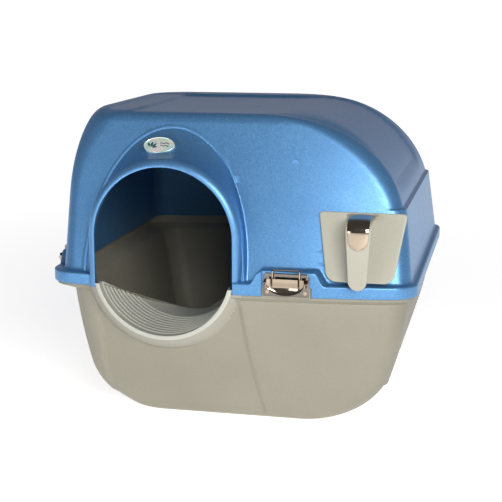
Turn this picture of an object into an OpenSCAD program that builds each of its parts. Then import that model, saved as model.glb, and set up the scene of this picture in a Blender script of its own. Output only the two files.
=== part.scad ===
// Roll-to-clean cat litter box with hood: a rounded litter pan, a hood that hides a
// curved litter filter, and a waste tray that pulls out through the hood's front.
// +Z up, +X right, the entry faces -Y. The origin is on the floor under the middle.

/* [Overall] */
// Width across the skirt
body_w = 520; // [460:10:640]
// Depth across the skirt at its middle
body_d = 536; // [470:4:650]
// Height to the top of the roof
body_h = 435; // [390:5:540]
// Wall thickness of every moulded shell
wall = 3; // [2.5:0.1:3.8]

/* [Joint line] */
// Height of the skirt's lower edge above the floor
skirt_z = 195; // [185:1:205]
// Height of the skirt
skirt_h = 17; // [14:1:20]
// Corner radius of the skirt
skirt_r = 34; // [26:1:44]
// How far the front and back bow out between their ends
bow = 24; // [12:1:30]

/* [Hood] */
// Ledge from the skirt to the hood's left wall
left_ledge = 16; // [14:1:24]
// Ledge from the skirt to the start of the right curve
right_ledge = 19; // [16:1:28]
// Ledge from the skirt to the hood's front and back walls
front_ledge = 12; // [10:1:18]
// Lean of the front and back walls, degrees from upright
face_lean = 18.4; // [14:0.1:21]
// Radius of the roof's long right curve
roof_r = 170; // [140:5:185]
// Radius along the roof's front and back edges
edge_r = 25; // [15:1:32]
// Corner radius of the hood at its foot
hood_r = 21; // [16:1:30]

/* [Entry] */
// Distance of the entry's middle to the left of the box's middle
entry_x = 85; // [70:1:90]
// Radius of the entry's round top and bottom
entry_r = 98; // [86:1:104]
// Height of the middle of the round bottom
entry_low = 226; // [218:1:232]
// Height of the middle of the round top
entry_high = 268; // [255:1:272]
// Greatest width of the swept arch around the entry
arch_reach = 20; // [14:1:24]
// Ribs on the entry step
step_ribs = 9; // [4:1:12]
// Spacing of the step's ribs
rib_pitch = 11; // [8:0.5:14]

/* [Waste tray] */
// Middle of the tray, right of the box's middle
tray_x = 185; // [180:1:192]
// Width of the tray at its top
tray_w = 84; // [70:1:88]
// Height of the tray's floor above the skirt's lower edge
tray_lift = 31; // [29:1:34]
// Depth of the tray
tray_h = 66; // [52:1:68]
// Width of the tray's front plate at its top
plate_w = 118; // [104:1:120]
// Height of the front plate
plate_h = 90; // [80:1:96]
// Width of the handle
handle_w = 34; // [28:1:38]

/* [Latches] */
// Width of a latch plate
latch_w = 62; // [52:1:70]
// Height of a latch plate
latch_h = 32; // [31:1:36]
// Distance of the front and back latches right of the middle
latch_x = 88; // [80:1:96]
// Distance of the left latches in front of and behind the middle
latch_y = 148; // [120:1:160]
// Diameter of the latch's hinge pin
pin_d = 3; // [2.4:0.1:3.4]

/* [Hidden] */
$fn = 48;

// Clearances
slide_gap = 1.2;                      // between the tray and its channel, each side
nest_gap = 1;                         // between the base's rim and the hood's skirt
fit_gap = 0.05;                       // round a screw, rivet or pin

// Joint line
ledge_z = skirt_z + skirt_h;          // top of the skirt's ledge
half_w = body_w / 2;
half_d = body_d / 2;
rim_top = ledge_z - wall;             // the hood's ledge rests on the base's rim here
rim_in = wall + nest_gap;             // rim's outer face, in from the skirt's outer face

// Hood outline, seen from the front
curve_x = half_w - right_ledge - roof_r;
curve_z = body_h - roof_r;
crown_a = 33;                         // half axes of the round between left wall and roof
crown_b = 110;
panel_z = curve_z + 44;               // top of the flat standing panel on the right
panel_step = 5;                       // how far that panel stands proud
panel_slope = 0.12;
roof_bow = 8;                         // bow of the roof's front and back edges
crown_r = 58;                         // plan radius of the corners at the roof
face_foot = half_d - front_ledge;     // front wall at the ledge, from the middle
round_z = body_h - edge_r;            // middle of the edge round
round_y = face_foot - (round_z - ledge_z) * tan(face_lean) - edge_r / cos(face_lean);

// Base outline, seen from the front
base_left = -(half_w - 29);           // left wall at the rim
base_right = half_w - 15;             // right wall at the rim
keel_l = 92;                          // radius of the lower left curve
keel_r = 128;                         // radius of the lower right curve
keel_d = 200;                         // floor's half depth
floor_l = -(half_w - 140);            // ends of the flat floor
floor_r = half_w - 153;
side_z = 64;                          // foot of the right side's standing panel
base_foot = half_d - 12;              // front wall under the rim, from the middle

// Entry
lip_y = -(half_d - 4);                // plane of the entry's lip
arch_a = entry_r + arch_reach;        // half width of the swept arch where it meets the wall
arch_z = skirt_z + 24;                // its middle height
arch_b = body_h - 23 - arch_z;        // its rise
lip_band = 21;                        // width of the bevelled band under the entry
step_d = 156;                         // depth of the step at its lowest line

// Tray
tray_z = skirt_z + tray_lift;
tray_foot = tray_w - 30;              // width at the tray's floor
tray_wall = 2;
plate_t = 2.6;
plate_gap = 4;                        // plate's left edge to the hood's wall, measured level
plate_z = ledge_z + 5;                // plate's lower edge
plate_foot = plate_w - 24;
boss_r = 6;
boss_y = half_d - 50;                 // inner end of the screw bosses by the channel
channel_t = 2;
channel_h = 34;
screw_r = 1.9;
screw_head_r = 3.6;
screw_x = tray_x - tray_foot / 2 - 28;  // line of the channel's screws

// Filter screen, an arc seen from the front
screen_r = 146;
screen_x = tray_x - tray_w / 2 - 6 - screen_r;
screen_z = tray_z + tray_h - 22;
screen_t = 2.5;
screen_solid = 20;                    // degrees of plain deflector at the foot
screen_top = 82;                      // degrees where the arc ends
slot_w = 11;
slot_pitch = 17;
tab_y = half_d - 122;                 // inner end of the screen's bosses

// Handle, seen from the right: level from the plate, then round and down in front
handle_z = 301;
handle_y = half_d + 7;                // its inner face, in front of the middle
handle_bend = 13;
handle_end = skirt_z + 17;
handle_t = 3.2;
handle_foot = handle_w - 9;
cap_t = 0.9;
cap_end = handle_z - 35;

// Latch, drawn in a frame at the skirt's face: y = 0 there, middle at x = 0, skirt edge at z = 0
pad_w = latch_w + 4;
pad_in = 1;                           // pad's face, in from the skirt's face
pad_back = rim_in + 3.5;              // and its back, past the rim where the rim is bowed
latch_th = 1.2;
latch_lo = 1;                         // plate's lower edge above the skirt's edge
lever_w = latch_w - 8;
lever_th = 1.4;
pin_z = 21;                           // hinge height above the skirt's edge
pin_y = -6.5;
pivot_z = pin_z - 6;                  // where the loop turns on the lever
pivot_y = -3;
wire_r = 1.2;
loop_half = lever_w / 2 - 8.5;        // middle of the loop's legs
bump_h = latch_lo + latch_h - skirt_h + 2;  // height of the hood's keeper bump over the ledge
bump_top = latch_w + 14;
bump_foot = latch_w + 38;
loop_z = skirt_h + bump_h + 0.6 + wire_r;
loop_y = 4;
rivet_z = 7;
rivet_x = latch_w / 2 - 5;
rivet_r = 1.5;

GREIGE = [0.72, 0.71, 0.65];
BLUE = [0.34, 0.55, 0.76];
CREAM = [0.80, 0.79, 0.73];
CHROME = [0.82, 0.82, 0.84];
CHARCOAL = [0.16, 0.17, 0.20];
FOIL = [0.75, 0.80, 0.82];

// ---------- outline rings ----------

// One ring of a shell at height z: a rounded rectangle whose front and back bow outwards.
function arc_pts(cx, cy, r, a0, n) =
    [for (i = [0:n]) [cx + r * cos(a0 + 90 * i / n), cy + r * sin(a0 + 90 * i / n)]];
function between(p, q, n) = [for (i = [1:n - 1]) p + (q - p) * i / n];
function flat_ring(xl, xr, hd, r) =
    let (fr = arc_pts(xr - r, -hd + r, r, -90, 6), br = arc_pts(xr - r, hd - r, r, 0, 6),
         bl = arc_pts(xl + r, hd - r, r, 90, 6), fl = arc_pts(xl + r, -hd + r, r, 180, 6))
    concat(fr, br, between(br[6], bl[0], 8), bl, fl, between(fl[6], fr[0], 8));
function ring(z, xl, xr, hd, r, b) =
    [for (p = flat_ring(xl, xr, hd, r)) [p[0], p[1] * (1 - b / hd * pow(p[0] / half_w, 2)), z]];

// A closed skin through rings that all have as many points, capped by fans at both ends.
module skin(rings) {
    n = len(rings[0]);
    last = len(rings) - 1;
    function middle(r) = [(min([for (p = r) p[0]]) + max([for (p = r) p[0]])) / 2, 0, r[0][2]];
    pts = concat([for (r = rings) for (p = r) p], [middle(rings[0]), middle(rings[last])]);
    foot = n * (last + 1);
    sides = [for (k = [0:last - 1]) for (i = [0:n - 1])
        let (a = k * n + i, b = k * n + (i + 1) % n, c = b + n, d = a + n) each [[a, c, b], [a, d, c]]];
    first = [for (i = [0:n - 1]) [i, (i + 1) % n, foot]];
    end = [for (i = [0:n - 1]) [last * n + (i + 1) % n, last * n + i, foot + 1]];
    polyhedron(points = pts, faces = concat(first, sides, end), convexity = 8);
}

// Hood: walls, roof and right curve, each measured t inside the outer surface.
function hood_left(z, t) = z <= body_h - crown_b ? -(half_w - left_ledge) + t
    : -(half_w - left_ledge) + crown_a
      - (crown_a - t) * sqrt(max(0, 1 - pow((z - body_h + crown_b) / (crown_b - t), 2)));
function hood_right(z, t) = z >= panel_z + 2
    ? curve_x + sqrt(max(0, pow(roof_r - t, 2) - pow(z - curve_z, 2)))
    : curve_x + sqrt(pow(roof_r, 2) - pow(panel_z - curve_z, 2)) + panel_step
      + (panel_z - z) * panel_slope - t;
function hood_deep(z, t) = z <= round_z + (edge_r - t) * sin(face_lean)
    ? face_foot - (z - ledge_z) * tan(face_lean) - t / cos(face_lean)
    : round_y + sqrt(max(0, pow(edge_r - t, 2) - pow(z - round_z, 2)));
function hood_corner(z, t) =
    max(4, hood_r - t + (crown_r - hood_r) * pow(max(0, z - panel_z) / (body_h - panel_z), 2));
function hood_bow(z) = bow + (roof_bow - bow) * (z - ledge_z) / (body_h - ledge_z);
function hood_ring(z, t) =
    ring(z, hood_left(z, t), hood_right(z, t), hood_deep(z, t), hood_corner(z, t), hood_bow(z));
function skirt_ring(z, t) = ring(z, -half_w + t, half_w - t, half_d - t, skirt_r - t, bow);
function roof_levels(t) = let (a0 = asin((panel_z + 2 - curve_z) / (roof_r - t)), n = 9)
    [for (i = [0:n]) curve_z + (roof_r - t) * sin(a0 + (90 - a0) * i / n)];

// Base: walls measured t inside the outer surface.
wall_slope = (floor_l - keel_l * cos(10) - base_left) / (skirt_z - 8 - keel_l * (1 - sin(10)));
function base_l(z, t) = z <= keel_l * (1 - sin(10))
    ? floor_l - sqrt(max(0, pow(keel_l - t, 2) - pow(keel_l - z, 2)))
    : floor_l - keel_l * cos(10) + t - (z - keel_l * (1 - sin(10))) * wall_slope;
function base_r(z, t) = z < side_z ? floor_r + sqrt(max(0, pow(keel_r - t, 2) - pow(keel_r - z, 2)))
    : let (foot = sqrt(pow(keel_r, 2) - pow(keel_r - side_z, 2)), k = (z - side_z) / (skirt_z - 8 - side_z))
      floor_r + foot + 3 - t + (base_right - floor_r - foot - 3) * sin(90 * min(1, k));
function base_deep(z, t) = keel_d + (base_foot - keel_d) * sin(90 * pow(z / (skirt_z - 8), 0.8)) - t;
function base_bow(z) = bow * min(1, z / (skirt_z - 8));
function base_ring(z, t) = ring(z, base_l(z, t), base_r(z, t), base_deep(z, t), 30 - t, base_bow(z));

// ---------- entry outlines ----------

// The lip's outline: upright legs and a round top. The arch's outline: a half ellipse on short legs.
function lip_pts(r, foot, n) = concat([[-entry_x - r, foot]],
    [for (i = [0:n]) [-entry_x - r * cos(180 * i / n), entry_high + r * sin(180 * i / n)]],
    [[-entry_x + r, foot]]);
function arch_pts(a, b, foot, n) = concat([[-entry_x - 3 - a, foot]],
    [for (i = [0:n]) [-entry_x - 3 - a * cos(180 * i / n), arch_z + b * sin(180 * i / n)]],
    [[-entry_x - 3 + a, foot]]);

// Along Y from y0 to y1, an outline drawn in X and Z.
module along_y(y0, y1) { translate([0, y1, 0]) rotate([90, 0, 0]) linear_extrude(y1 - y0) children(); }
// Along X from x0 to x1, an outline drawn in Y and Z.
module along_x(x0, x1) { translate([x0, 0, 0]) rotate([90, 0, 90]) linear_extrude(x1 - x0) children(); }
// A round bar along Y.
module bar_y(x, z, y0, y1, r) { translate([x, y0, z]) rotate([-90, 0, 0]) cylinder(h = y1 - y0, r = r); }

// Hood wall's y at a point of the arch, depth t behind the outer face.
function wall_y(x, z, t) =
    -(face_foot - (z - ledge_z) * tan(face_lean)) * (1 - hood_bow(z) / face_foot * pow(x / half_w, 2)) + t;

// The swept arch: from the wall it first turns in, then forward to the lip.
module arch() {
    n = 24;
    steps = 5;
    thick = 3;
    root = 1.2;                       // how deep the arch's edge sits in the hood's wall
    far = arch_pts(arch_a, arch_b, skirt_z, n);
    out = lip_pts(entry_r + thick, skirt_z, n);
    in = lip_pts(entry_r, skirt_z, n);
    function outer(i, k) =
        let (s = sin(90 * k / steps), q = far[i] + (out[i] - far[i]) * s,
             y0 = wall_y(far[i][0], far[i][1], root))
        [q[0], y0 + (lip_y - y0) * (1 - cos(90 * k / steps)), q[1]];
    function inner(i, k) =
        let (s = sin(90 * k / steps), q = far[i] + (in[i] - far[i]) * s,
             y0 = wall_y(far[i][0], far[i][1], wall + root))
        [q[0], y0 + (lip_y - y0) * (1 - cos(90 * k / steps)) + (k < steps ? 1.2 * k / steps : 0), q[1]];
    m = len(far);
    // each section of the arch is a closed loop: up its outer face and back down its inner face
    w = 2 * steps + 2;
    pts = [for (i = [0:m - 1])
        each concat([for (k = [0:steps]) outer(i, k)], [for (k = [steps:-1:0]) inner(i, k)])];
    sides = [for (i = [0:m - 2]) for (k = [0:w - 1])
        let (a = i * w + k, b = i * w + (k + 1) % w, c = b + w, d = a + w) each [[a, c, b], [a, d, c]]];
    ends = [for (k = [0:steps - 1]) for (e = [0, 1])
        let (a = e * (m - 1) * w, q = [a + k, a + w - 1 - k, a + w - 2 - k, a + k + 1])
        each e == 1 ? [[q[0], q[1], q[2]], [q[0], q[2], q[3]]] : [[q[0], q[2], q[1]], [q[0], q[3], q[2]]]];
    polyhedron(points = pts, faces = concat(sides, ends), convexity = 6);
}

// ---------- latch places ----------

// Front, back, left front and left rear: a turn about Z, then out to the skirt's face.
function bow_in(x) = bow * pow(x / half_w, 2);
latch_spots = [[0, [latch_x, -(half_d - bow_in(latch_x))]], [180, [latch_x, half_d - bow_in(latch_x)]],
               [-90, [-half_w, -latch_y]], [-90, [-half_w, latch_y]]];
module at_latch(i) {
    translate([latch_spots[i][1][0], latch_spots[i][1][1], skirt_z])
        rotate([0, 0, latch_spots[i][0]]) children();
}

// ---------- base ----------

module base() {
    levels = [0, 4, 12, 26, 44, 60, 68, 90, 115, 145, skirt_z - 10];
    color(GREIGE) {
        difference() {
            union() {
                skin(concat(
                    [for (z = levels) base_ring(z, 0)],
                    [skirt_ring(skirt_z - 4, rim_in), skirt_ring(rim_top, rim_in),
                     skirt_ring(rim_top, rim_in + wall), skirt_ring(skirt_z, rim_in + wall)],
                    [for (i = [len(levels) - 1:-1:1]) base_ring(max(levels[i], wall + 2), wall)],
                    [base_ring(wall, wall)]));
                collar();
                for (i = [0:3]) at_latch(i) latch_pad();
            }
            bar_y(-entry_x, entry_low, -half_d - 20, -keel_d + 20, entry_r);
            // the rim stops short of the hood's arch
            translate([-entry_x - 3 - arch_a - 1, -half_d - 5, skirt_z - 0.5])
                cube([2 * (arch_a + 1), 50, 30]);
            for (i = [0:3]) at_latch(i) rivet_bores();
        }
    }
}

// Bevelled band under the entry, proud of the base's front.
module collar() {
    intersection() {
        translate([-entry_x, lip_y, entry_low]) rotate([-90, 0, 0])
            cylinder(h = lip_band, r1 = entry_r + 3, r2 = entry_r + lip_band);
        along_x(-entry_x - 150, -entry_x + 150)
            polygon([[lip_y - 1, 0], [lip_y - 1, skirt_z - 0.5],
                [lip_y + 60, skirt_z - 0.5], [lip_y + 60, 0]]);
    }
}

// Block that backs a latch plate, and the holes for its two rivets.
module latch_pad() {
    translate([-pad_w / 2, pad_in, -1]) cube([pad_w, pad_back - pad_in, skirt_h - 3]);
}
module rivet_bores() {
    for (s = [-1, 1]) bar_y(s * rivet_x, rivet_z, -1, pad_back + 5, rivet_r + fit_gap);
}

// ---------- hood ----------

screw_levels = [tray_z + 8, tray_z + 24];
tab_angles = [12, 45];
function tab_at(a) = [screen_x + (screen_r - 9) * cos(a), screen_z + (screen_r - 9) * sin(a)];

module hood() {
    color(BLUE) difference() {
        union() {
            difference() {
                hood_shell();
                along_y(-half_d - 20, -round_y + 60)
                    polygon(arch_pts(arch_a - 4, arch_b - 4, ledge_z + 0.5, 24));
                // the skirt runs on below the arch to the lip
                translate([-entry_x - entry_r - 1.5, -half_d - 20, skirt_z - 10])
                    cube([2 * entry_r + 3, 90, skirt_h + 12]);
            }
            arch();
            for (i = [0:3]) at_latch(i) keeper();
            for (s = [0, 180], z = screw_levels) boss(s, screw_x, z, boss_y);
            for (s = [0, 180], a = tab_angles) boss(s, tab_at(a)[0], tab_at(a)[1], tab_y);
        }
        for (i = [0:3]) at_latch(i) latch_notch();
        along_y(-half_d - 5, -half_d + 110) tray_outline(4, -4);
        for (s = [0, 180], z = screw_levels) boss_bore(s, screw_x, z, boss_y);
        for (s = [0, 180], a = tab_angles) boss_bore(s, tab_at(a)[0], tab_at(a)[1], tab_y);
    }
}

module hood_shell() {
    rise = [ledge_z, 245, panel_z];
    outer = concat([for (z = rise) hood_ring(z, 0)], [for (z = roof_levels(0)) hood_ring(z, 0)]);
    inner = concat([for (z = rise) hood_ring(z, wall)], [for (z = roof_levels(wall)) hood_ring(z, wall)]);
    skin(concat([for (k = [len(inner) - 1:-1:0]) inner[k]],
        [hood_ring_at(rim_top, wall), skirt_ring(rim_top, wall), skirt_ring(skirt_z, wall),
         skirt_ring(skirt_z, 0), skirt_ring(ledge_z - 2, 0), skirt_ring(ledge_z, 2)], outer));
}
function hood_ring_at(z, t) =
    ring(z, hood_left(ledge_z, t), hood_right(ledge_z, t), hood_deep(ledge_z, t), hood_r - t, bow);

// Raised keeper on the ledge that a latch's loop hooks over.
module keeper() {
    along_y(0, 21) polygon([[-bump_foot / 2, skirt_h - 1.5], [bump_foot / 2, skirt_h - 1.5],
        [bump_top / 2, skirt_h + bump_h], [-bump_top / 2, skirt_h + bump_h]]);
}

// Room in the skirt and the keeper for a latch's plate and the pad behind it.
module latch_notch() {
    translate([-pad_w / 2 - 1, -2, -5]) cube([pad_w + 2, pad_in + 2.3, skirt_h + bump_h + 10]);
    translate([-pad_w / 2 - 1, -2, -5]) cube([pad_w + 2, pad_back + 2.5, skirt_h + 4.5 - wall]);
}

// Boss from the front (turn 0) or back (turn 180) wall, and its screw's bore.
module boss(turn, x, z, end) {
    mirror([0, turn / 180, 0]) bar_y(x, z, wall_y(x, z, 1), -end, boss_r);
}
module boss_bore(turn, x, z, end) {
    mirror([0, turn / 180, 0]) bar_y(x, z, -end - 14, -end + 1, screw_r + fit_gap);
}

// The tray's section, grown by g at its sides and top and by -low at its floor.
module tray_outline(g, low) {
    polygon([[tray_x - tray_foot / 2 - g, tray_z + low], [tray_x + tray_foot / 2 + g, tray_z + low],
        [tray_x + tray_w / 2 + g, tray_z + tray_h + g], [tray_x - tray_w / 2 - g, tray_z + tray_h + g]]);
}

// ---------- entry ----------

// Half-round ribbed step; its inner end is cut off by a slanting plane.
module entry_step() {
    r = entry_r - 0.3;
    low = entry_low - r;
    color(CREAM) intersection() {
        union() {
            ring_y(r - 2.6, r, lip_y - 1, lip_y + step_d + 60);
            ring_y(r - 2.6, r + 4, lip_y - 2, lip_y - 1);
            for (i = [1:step_ribs]) ring_y(r - 4, r - 2, lip_y + i * rib_pitch, lip_y + i * rib_pitch + 2.4);
        }
        along_x(-entry_x - r - 8, -entry_x + r + 8) polygon([[lip_y - 3, low - 8], [lip_y + step_d, low - 8],
            [lip_y + step_d, low + 6], [lip_y + 14, skirt_z + 6], [lip_y - 3, skirt_z + 6]]);
    }
}
// Tube round the entry's lower middle, from y0 to y1.
module ring_y(r0, r1, y0, y1) {
    difference() {
        bar_y(-entry_x, entry_low, y0, y1, r1);
        bar_y(-entry_x, entry_low, y0 - 1, y1 + 1, r0);
    }
}

// Oval nameplate on the arch, plain, with a raised rim.
module badge() {
    color(FOIL) translate([-entry_x - 15, lip_y + 56.4, entry_high + entry_r + 22.6]) rotate([-42, 0, 0])
        difference() {
            along_y(-1.6, 1) oval(22, 13);
            along_y(-3, -1) oval(20.2, 11.2);
        }
}
module oval(a, b) { polygon([for (i = [0:47]) [a * cos(i * 7.5), b * sin(i * 7.5)]]); }

// ---------- filter screen ----------

// A stretch of the screen's arc between two radii and two angles, seen from the front.
module sector(r0, r1, a0, a1) {
    n = ceil((a1 - a0) / 4);
    translate([screen_x, screen_z]) polygon(concat(
        [for (i = [0:n]) let (a = a0 + (a1 - a0) * i / n) [r1 * cos(a), r1 * sin(a)]],
        [for (i = [n:-1:0]) let (a = a0 + (a1 - a0) * i / n) [r0 * cos(a), r0 * sin(a)]]));
}
function screen_deep(z) = hood_deep(z, wall) - 13;

module filter_screen() {
    r0 = screen_r - screen_t;
    split = (screen_solid + screen_top) / 2 - 2;
    reach = screen_deep(screen_z + screen_r * sin(split)) - slot_w;
    n = floor(reach / slot_pitch);
    lo = screen_deep(screen_z);
    hi = screen_deep(screen_z + screen_r);
    color(CHARCOAL) union() {
        difference() {
            intersection() {
                along_y(-half_d, half_d) sector(r0, screen_r, 0, screen_top);
                along_x(screen_x, screen_x + screen_r + 5) polygon([[-lo, screen_z - 5], [lo, screen_z - 5],
                    [hi, screen_z + screen_r + 1], [-hi, screen_z + screen_r + 1]]);
            }
            for (k = [-n:n]) {
                along_y(k * slot_pitch - slot_w / 2, k * slot_pitch + slot_w / 2)
                    sector(r0 - 2, screen_r + 2, screen_solid, split);
                if (abs(k) < n) along_y(k * slot_pitch - slot_w / 2, k * slot_pitch + slot_w / 2)
                    sector(r0 - 2, screen_r + 2, split + 4, screen_top - 4);
            }
        }
        for (s = [0, 1], a = tab_angles) mirror([0, s, 0]) screen_tab(a);
    }
}
module screen_tab(a) {
    difference() {
        along_y(-tab_y, -tab_y + screen_t) sector(screen_r - 16, screen_r - 1, a - 3, a + 3);
        bar_y(tab_at(a)[0], tab_at(a)[1], -tab_y - 1, -tab_y + screen_t + 1, screw_r + fit_gap);
    }
}

// Self-tapping screw along -Y, its head's underside at y.
module screw_y(x, z, y, grip) {
    bar_y(x, z, y, y + 2.2, screw_head_r);
    bar_y(x, z, y - grip, y, screw_r);
}
module screen_screws() {
    color("silver") for (s = [0, 1], a = tab_angles)
        mirror([0, s, 0]) screw_y(tab_at(a)[0], tab_at(a)[1], -tab_y + screen_t, screen_t + 12);
}

// ---------- waste tray ----------

module tray_channel() {
    low = -slide_gap;
    color(BLUE) union() {
        difference() {
            intersection() {
                along_y(-boss_y, boss_y) tray_outline(slide_gap + channel_t, low - channel_t);
                translate([-half_w, -half_d, 0]) cube([body_w, body_d, tray_z + channel_h]);
            }
            along_y(-boss_y - 1, boss_y + 1) tray_outline(slide_gap, low);
        }
        for (s = [0, 1]) mirror([0, s, 0]) channel_tab();
    }
}
module channel_tab() {
    difference() {
        translate([screw_x - 7, -boss_y, tray_z]) cube([27, channel_t, 31]);
        along_y(-boss_y - 1, -boss_y + channel_t + 1) tray_outline(slide_gap + channel_t / 2, -slide_gap - 1);
        for (z = screw_levels) bar_y(screw_x, z, -boss_y - 1, -boss_y + channel_t + 1, screw_r + fit_gap);
    }
}
module channel_screws() {
    color("silver") for (s = [0, 1], z = screw_levels)
        mirror([0, s, 0]) screw_y(screw_x, z, -boss_y + channel_t, channel_t + 12);
}

// Plate's back face: its y at a height, and the frame whose XZ plane lies in it.
plate_back = wall_y(tray_x - plate_w / 2, ledge_z, 0) - plate_gap;
function plate_y(z) = plate_back + (z - ledge_z) * tan(face_lean);
module on_plate() { translate([tray_x, plate_y(plate_z), plate_z]) rotate([-face_lean, 0, 0]) children(); }
tray_back = half_d - 74;
tray_screw_up = [20, 52];             // up the plate, from its lower edge

module waste_tray() {
    top = tray_z + tray_h;
    t = tray_wall / cos(face_lean);
    color(CREAM) difference() {
        intersection() {
            along_y(-half_d, tray_back) tray_outline(0, 0);
            along_x(0, half_w) polygon([[plate_y(tray_z), tray_z], [tray_back, tray_z],
                [tray_back, top], [plate_y(top), top]]);
        }
        intersection() {
            along_y(-half_d, tray_back) tray_outline(-tray_wall, tray_wall + 0.01);
            along_x(0, half_w) polygon([[plate_y(tray_z) + t, tray_z], [tray_back - tray_wall, tray_z],
                [tray_back - tray_wall, top + 9], [plate_y(top + 9) + t, top + 9]]);
        }
        translate([tray_x - tray_w / 2 + tray_wall, plate_y(top) + 12, top - tray_wall - 1])
            cube([tray_w - 2 * tray_wall, tray_back - tray_wall - plate_y(top) - 12, 9]);
        on_plate() for (s = [-1, 1], u = tray_screw_up) bar_y(s * 12, u, -1, 9, screw_r + fit_gap);
    }
}

module tray_front() {
    color(CREAM) difference() {
        union() {
            on_plate() along_y(-plate_t, 0) hull() {
                for (s = [-1, 1]) {
                    translate([s * (plate_foot / 2 - 16), 16]) circle(16);
                    translate([s * (plate_w / 2 - 5), plate_h / cos(face_lean) - 5]) circle(5);
                }
            }
            intersection() {
                along_x(tray_x - handle_w, tray_x + handle_w) handle_section(0, handle_t);
                along_y(-half_d - 30, 0) handle_outline(handle_w / 2, handle_foot / 2, handle_end);
            }
        }
        on_plate() for (s = [-1, 1], u = tray_screw_up) bar_y(s * 12, u, -2, 1, screw_r + fit_gap);
    }
}

// Section of the handle between two offsets of its inner face, from `in` behind the plate's face.
function handle_path(d) = concat([[plate_y(handle_z) - plate_t + 1, handle_z + d]],
    [for (i = [0:10]) [-handle_y + handle_bend - (handle_bend + d) * sin(9 * i),
        handle_z - handle_bend + (handle_bend + d) * cos(9 * i)]],
    [[-handle_y - d, handle_end - 1]]);
module handle_section(d0, d1) {
    far = handle_path(d1);
    near = handle_path(d0);
    polygon(concat(far, [for (i = [len(near) - 1:-1:0]) near[i]]));
}
// Handle from the front: a round-ended taper.
module handle_outline(top_half, foot_half, low) {
    hull() {
        translate([tray_x, low + foot_half]) circle(foot_half);
        translate([tray_x - top_half, handle_z - 2]) square([2 * top_half, 12]);
    }
}

module handle_cap() {
    color(CHROME) intersection() {
        along_x(tray_x - handle_w, tray_x + handle_w) polygon(concat(
            [for (p = cap_path(handle_t + cap_t)) p],
            [for (k = [12:-1:0]) cap_path(handle_t)[k]]));
        along_y(-half_d - 40, 0) handle_outline(handle_w / 2 - 2, handle_foot / 2 - 1, cap_end);
    }
}
function cap_path(d) =
    [for (i = [0:12]) i == 0 ? [plate_y(handle_z) - plate_t - 9, handle_z + d] : handle_path(d)[i]];

module tray_screws() {
    color("silver") on_plate() for (s = [-1, 1], u = tray_screw_up) {
        bar_y(s * 12, u, tray_wall + 0.02, tray_wall + 2.2, screw_head_r);
        bar_y(s * 12, u, -1.9, tray_wall + 0.02, screw_r);
    }
}

// ---------- latches ----------

module latch_plate() {
    color(CHROME) difference() {
        union() {
            translate([-latch_w / 2, pad_in - latch_th, latch_lo]) cube([latch_w, latch_th, latch_h]);
            for (s = [-1, 1]) along_x(s * (lever_w / 2 + 1.4) - 0.8, s * (lever_w / 2 + 1.4) + 0.8) hull() {
                translate([pin_y, pin_z]) circle(3);
                translate([pad_in - latch_th / 2, pin_z - 4]) square([0.2, 8]);
            }
        }
        bar_x(pin_y, pin_z, -latch_w, latch_w, pin_d / 2 + fit_gap);
        for (s = [-1, 1]) bar_y(s * rivet_x, rivet_z, -3, 3, rivet_r + fit_gap);
    }
}
module bar_x(y, z, x0, x1, r) { translate([x0, y, z]) rotate([0, 90, 0]) cylinder(h = x1 - x0, r = r); }

// Two stub pins, each through an ear of the plate and a cheek of the lever.
module latch_pin() {
    in = lever_w / 2 - 1.8;
    out = lever_w / 2 + 2.3;
    color(CHROME) for (s = [0, 1]) mirror([s, 0, 0]) {
        bar_x(pin_y, pin_z, in, out, pin_d / 2);
        bar_x(pin_y, pin_z, out, out + 0.8, pin_d / 2 + 0.9);
    }
}

// Half-moon thumb lever with two cheeks.
module latch_lever() {
    half = lever_w / 2;
    y0 = pin_y - 3;
    low = 5;
    moon_r = 2 * half - 3;
    slot_foot = pivot_z - 2.6;        // the loop's legs swing out through slots above this
    color(CHROME) difference() {
        union() {
            intersection() {
                along_y(y0, y0 + lever_th) difference() {
                    translate([-half, low]) square([2 * half, pin_z - low]);
                    for (s = [-1, 1]) translate([s * loop_half - 2.1, slot_foot]) square([4.2, pin_z]);
                }
                along_y(y0 - 1, y0 + 3) translate([0, low + moon_r]) circle(moon_r);
            }
            for (s = [-1, 1]) along_x(s * (half - 0.7) - 0.7, s * (half - 0.7) + 0.7) hull() {
                translate([pin_y, pin_z]) circle(2.9);
                translate([pivot_y, pivot_z]) circle(2.4);
                translate([y0 + 0.7, pivot_z - 4.7]) circle(0.7);
            }
        }
        bar_x(pin_y, pin_z, -half - 1, half + 1, pin_d / 2 + fit_gap);
        bar_x(pivot_y, pivot_z, -half - 1, half + 1, wire_r + fit_gap);
    }
}

// Wire loop that turns on the lever and hooks over the hood's keeper.
module latch_loop() {
    color(CHROME) union() {
        bar_x(pivot_y, pivot_z, -lever_w / 2, lever_w / 2, wire_r);
        bar_x(loop_y, loop_z, -loop_half, loop_half, wire_r);
        for (s = [-1, 1]) translate([s * loop_half, 0, 0]) {
            translate([0, pivot_y, pivot_z]) cylinder(h = loop_z - pivot_z, r = wire_r);
            translate([0, pivot_y, loop_z]) sphere(wire_r);
            translate([0, pivot_y, loop_z]) rotate([-90, 0, 0]) cylinder(h = loop_y - pivot_y, r = wire_r);
            translate([0, loop_y, loop_z]) sphere(wire_r);
        }
    }
}

// Two rivets a latch, from the plate's front into the pad.
module latch_rivets() {
    color(CHROME) for (i = [0:3]) at_latch(i) for (s = [-1, 1]) {
        bar_y(s * rivet_x, rivet_z, pad_in - latch_th - 0.9, pad_in - latch_th, 2.6);
        bar_y(s * rivet_x, rivet_z, pad_in - latch_th, pad_back, rivet_r);
    }
}

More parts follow.
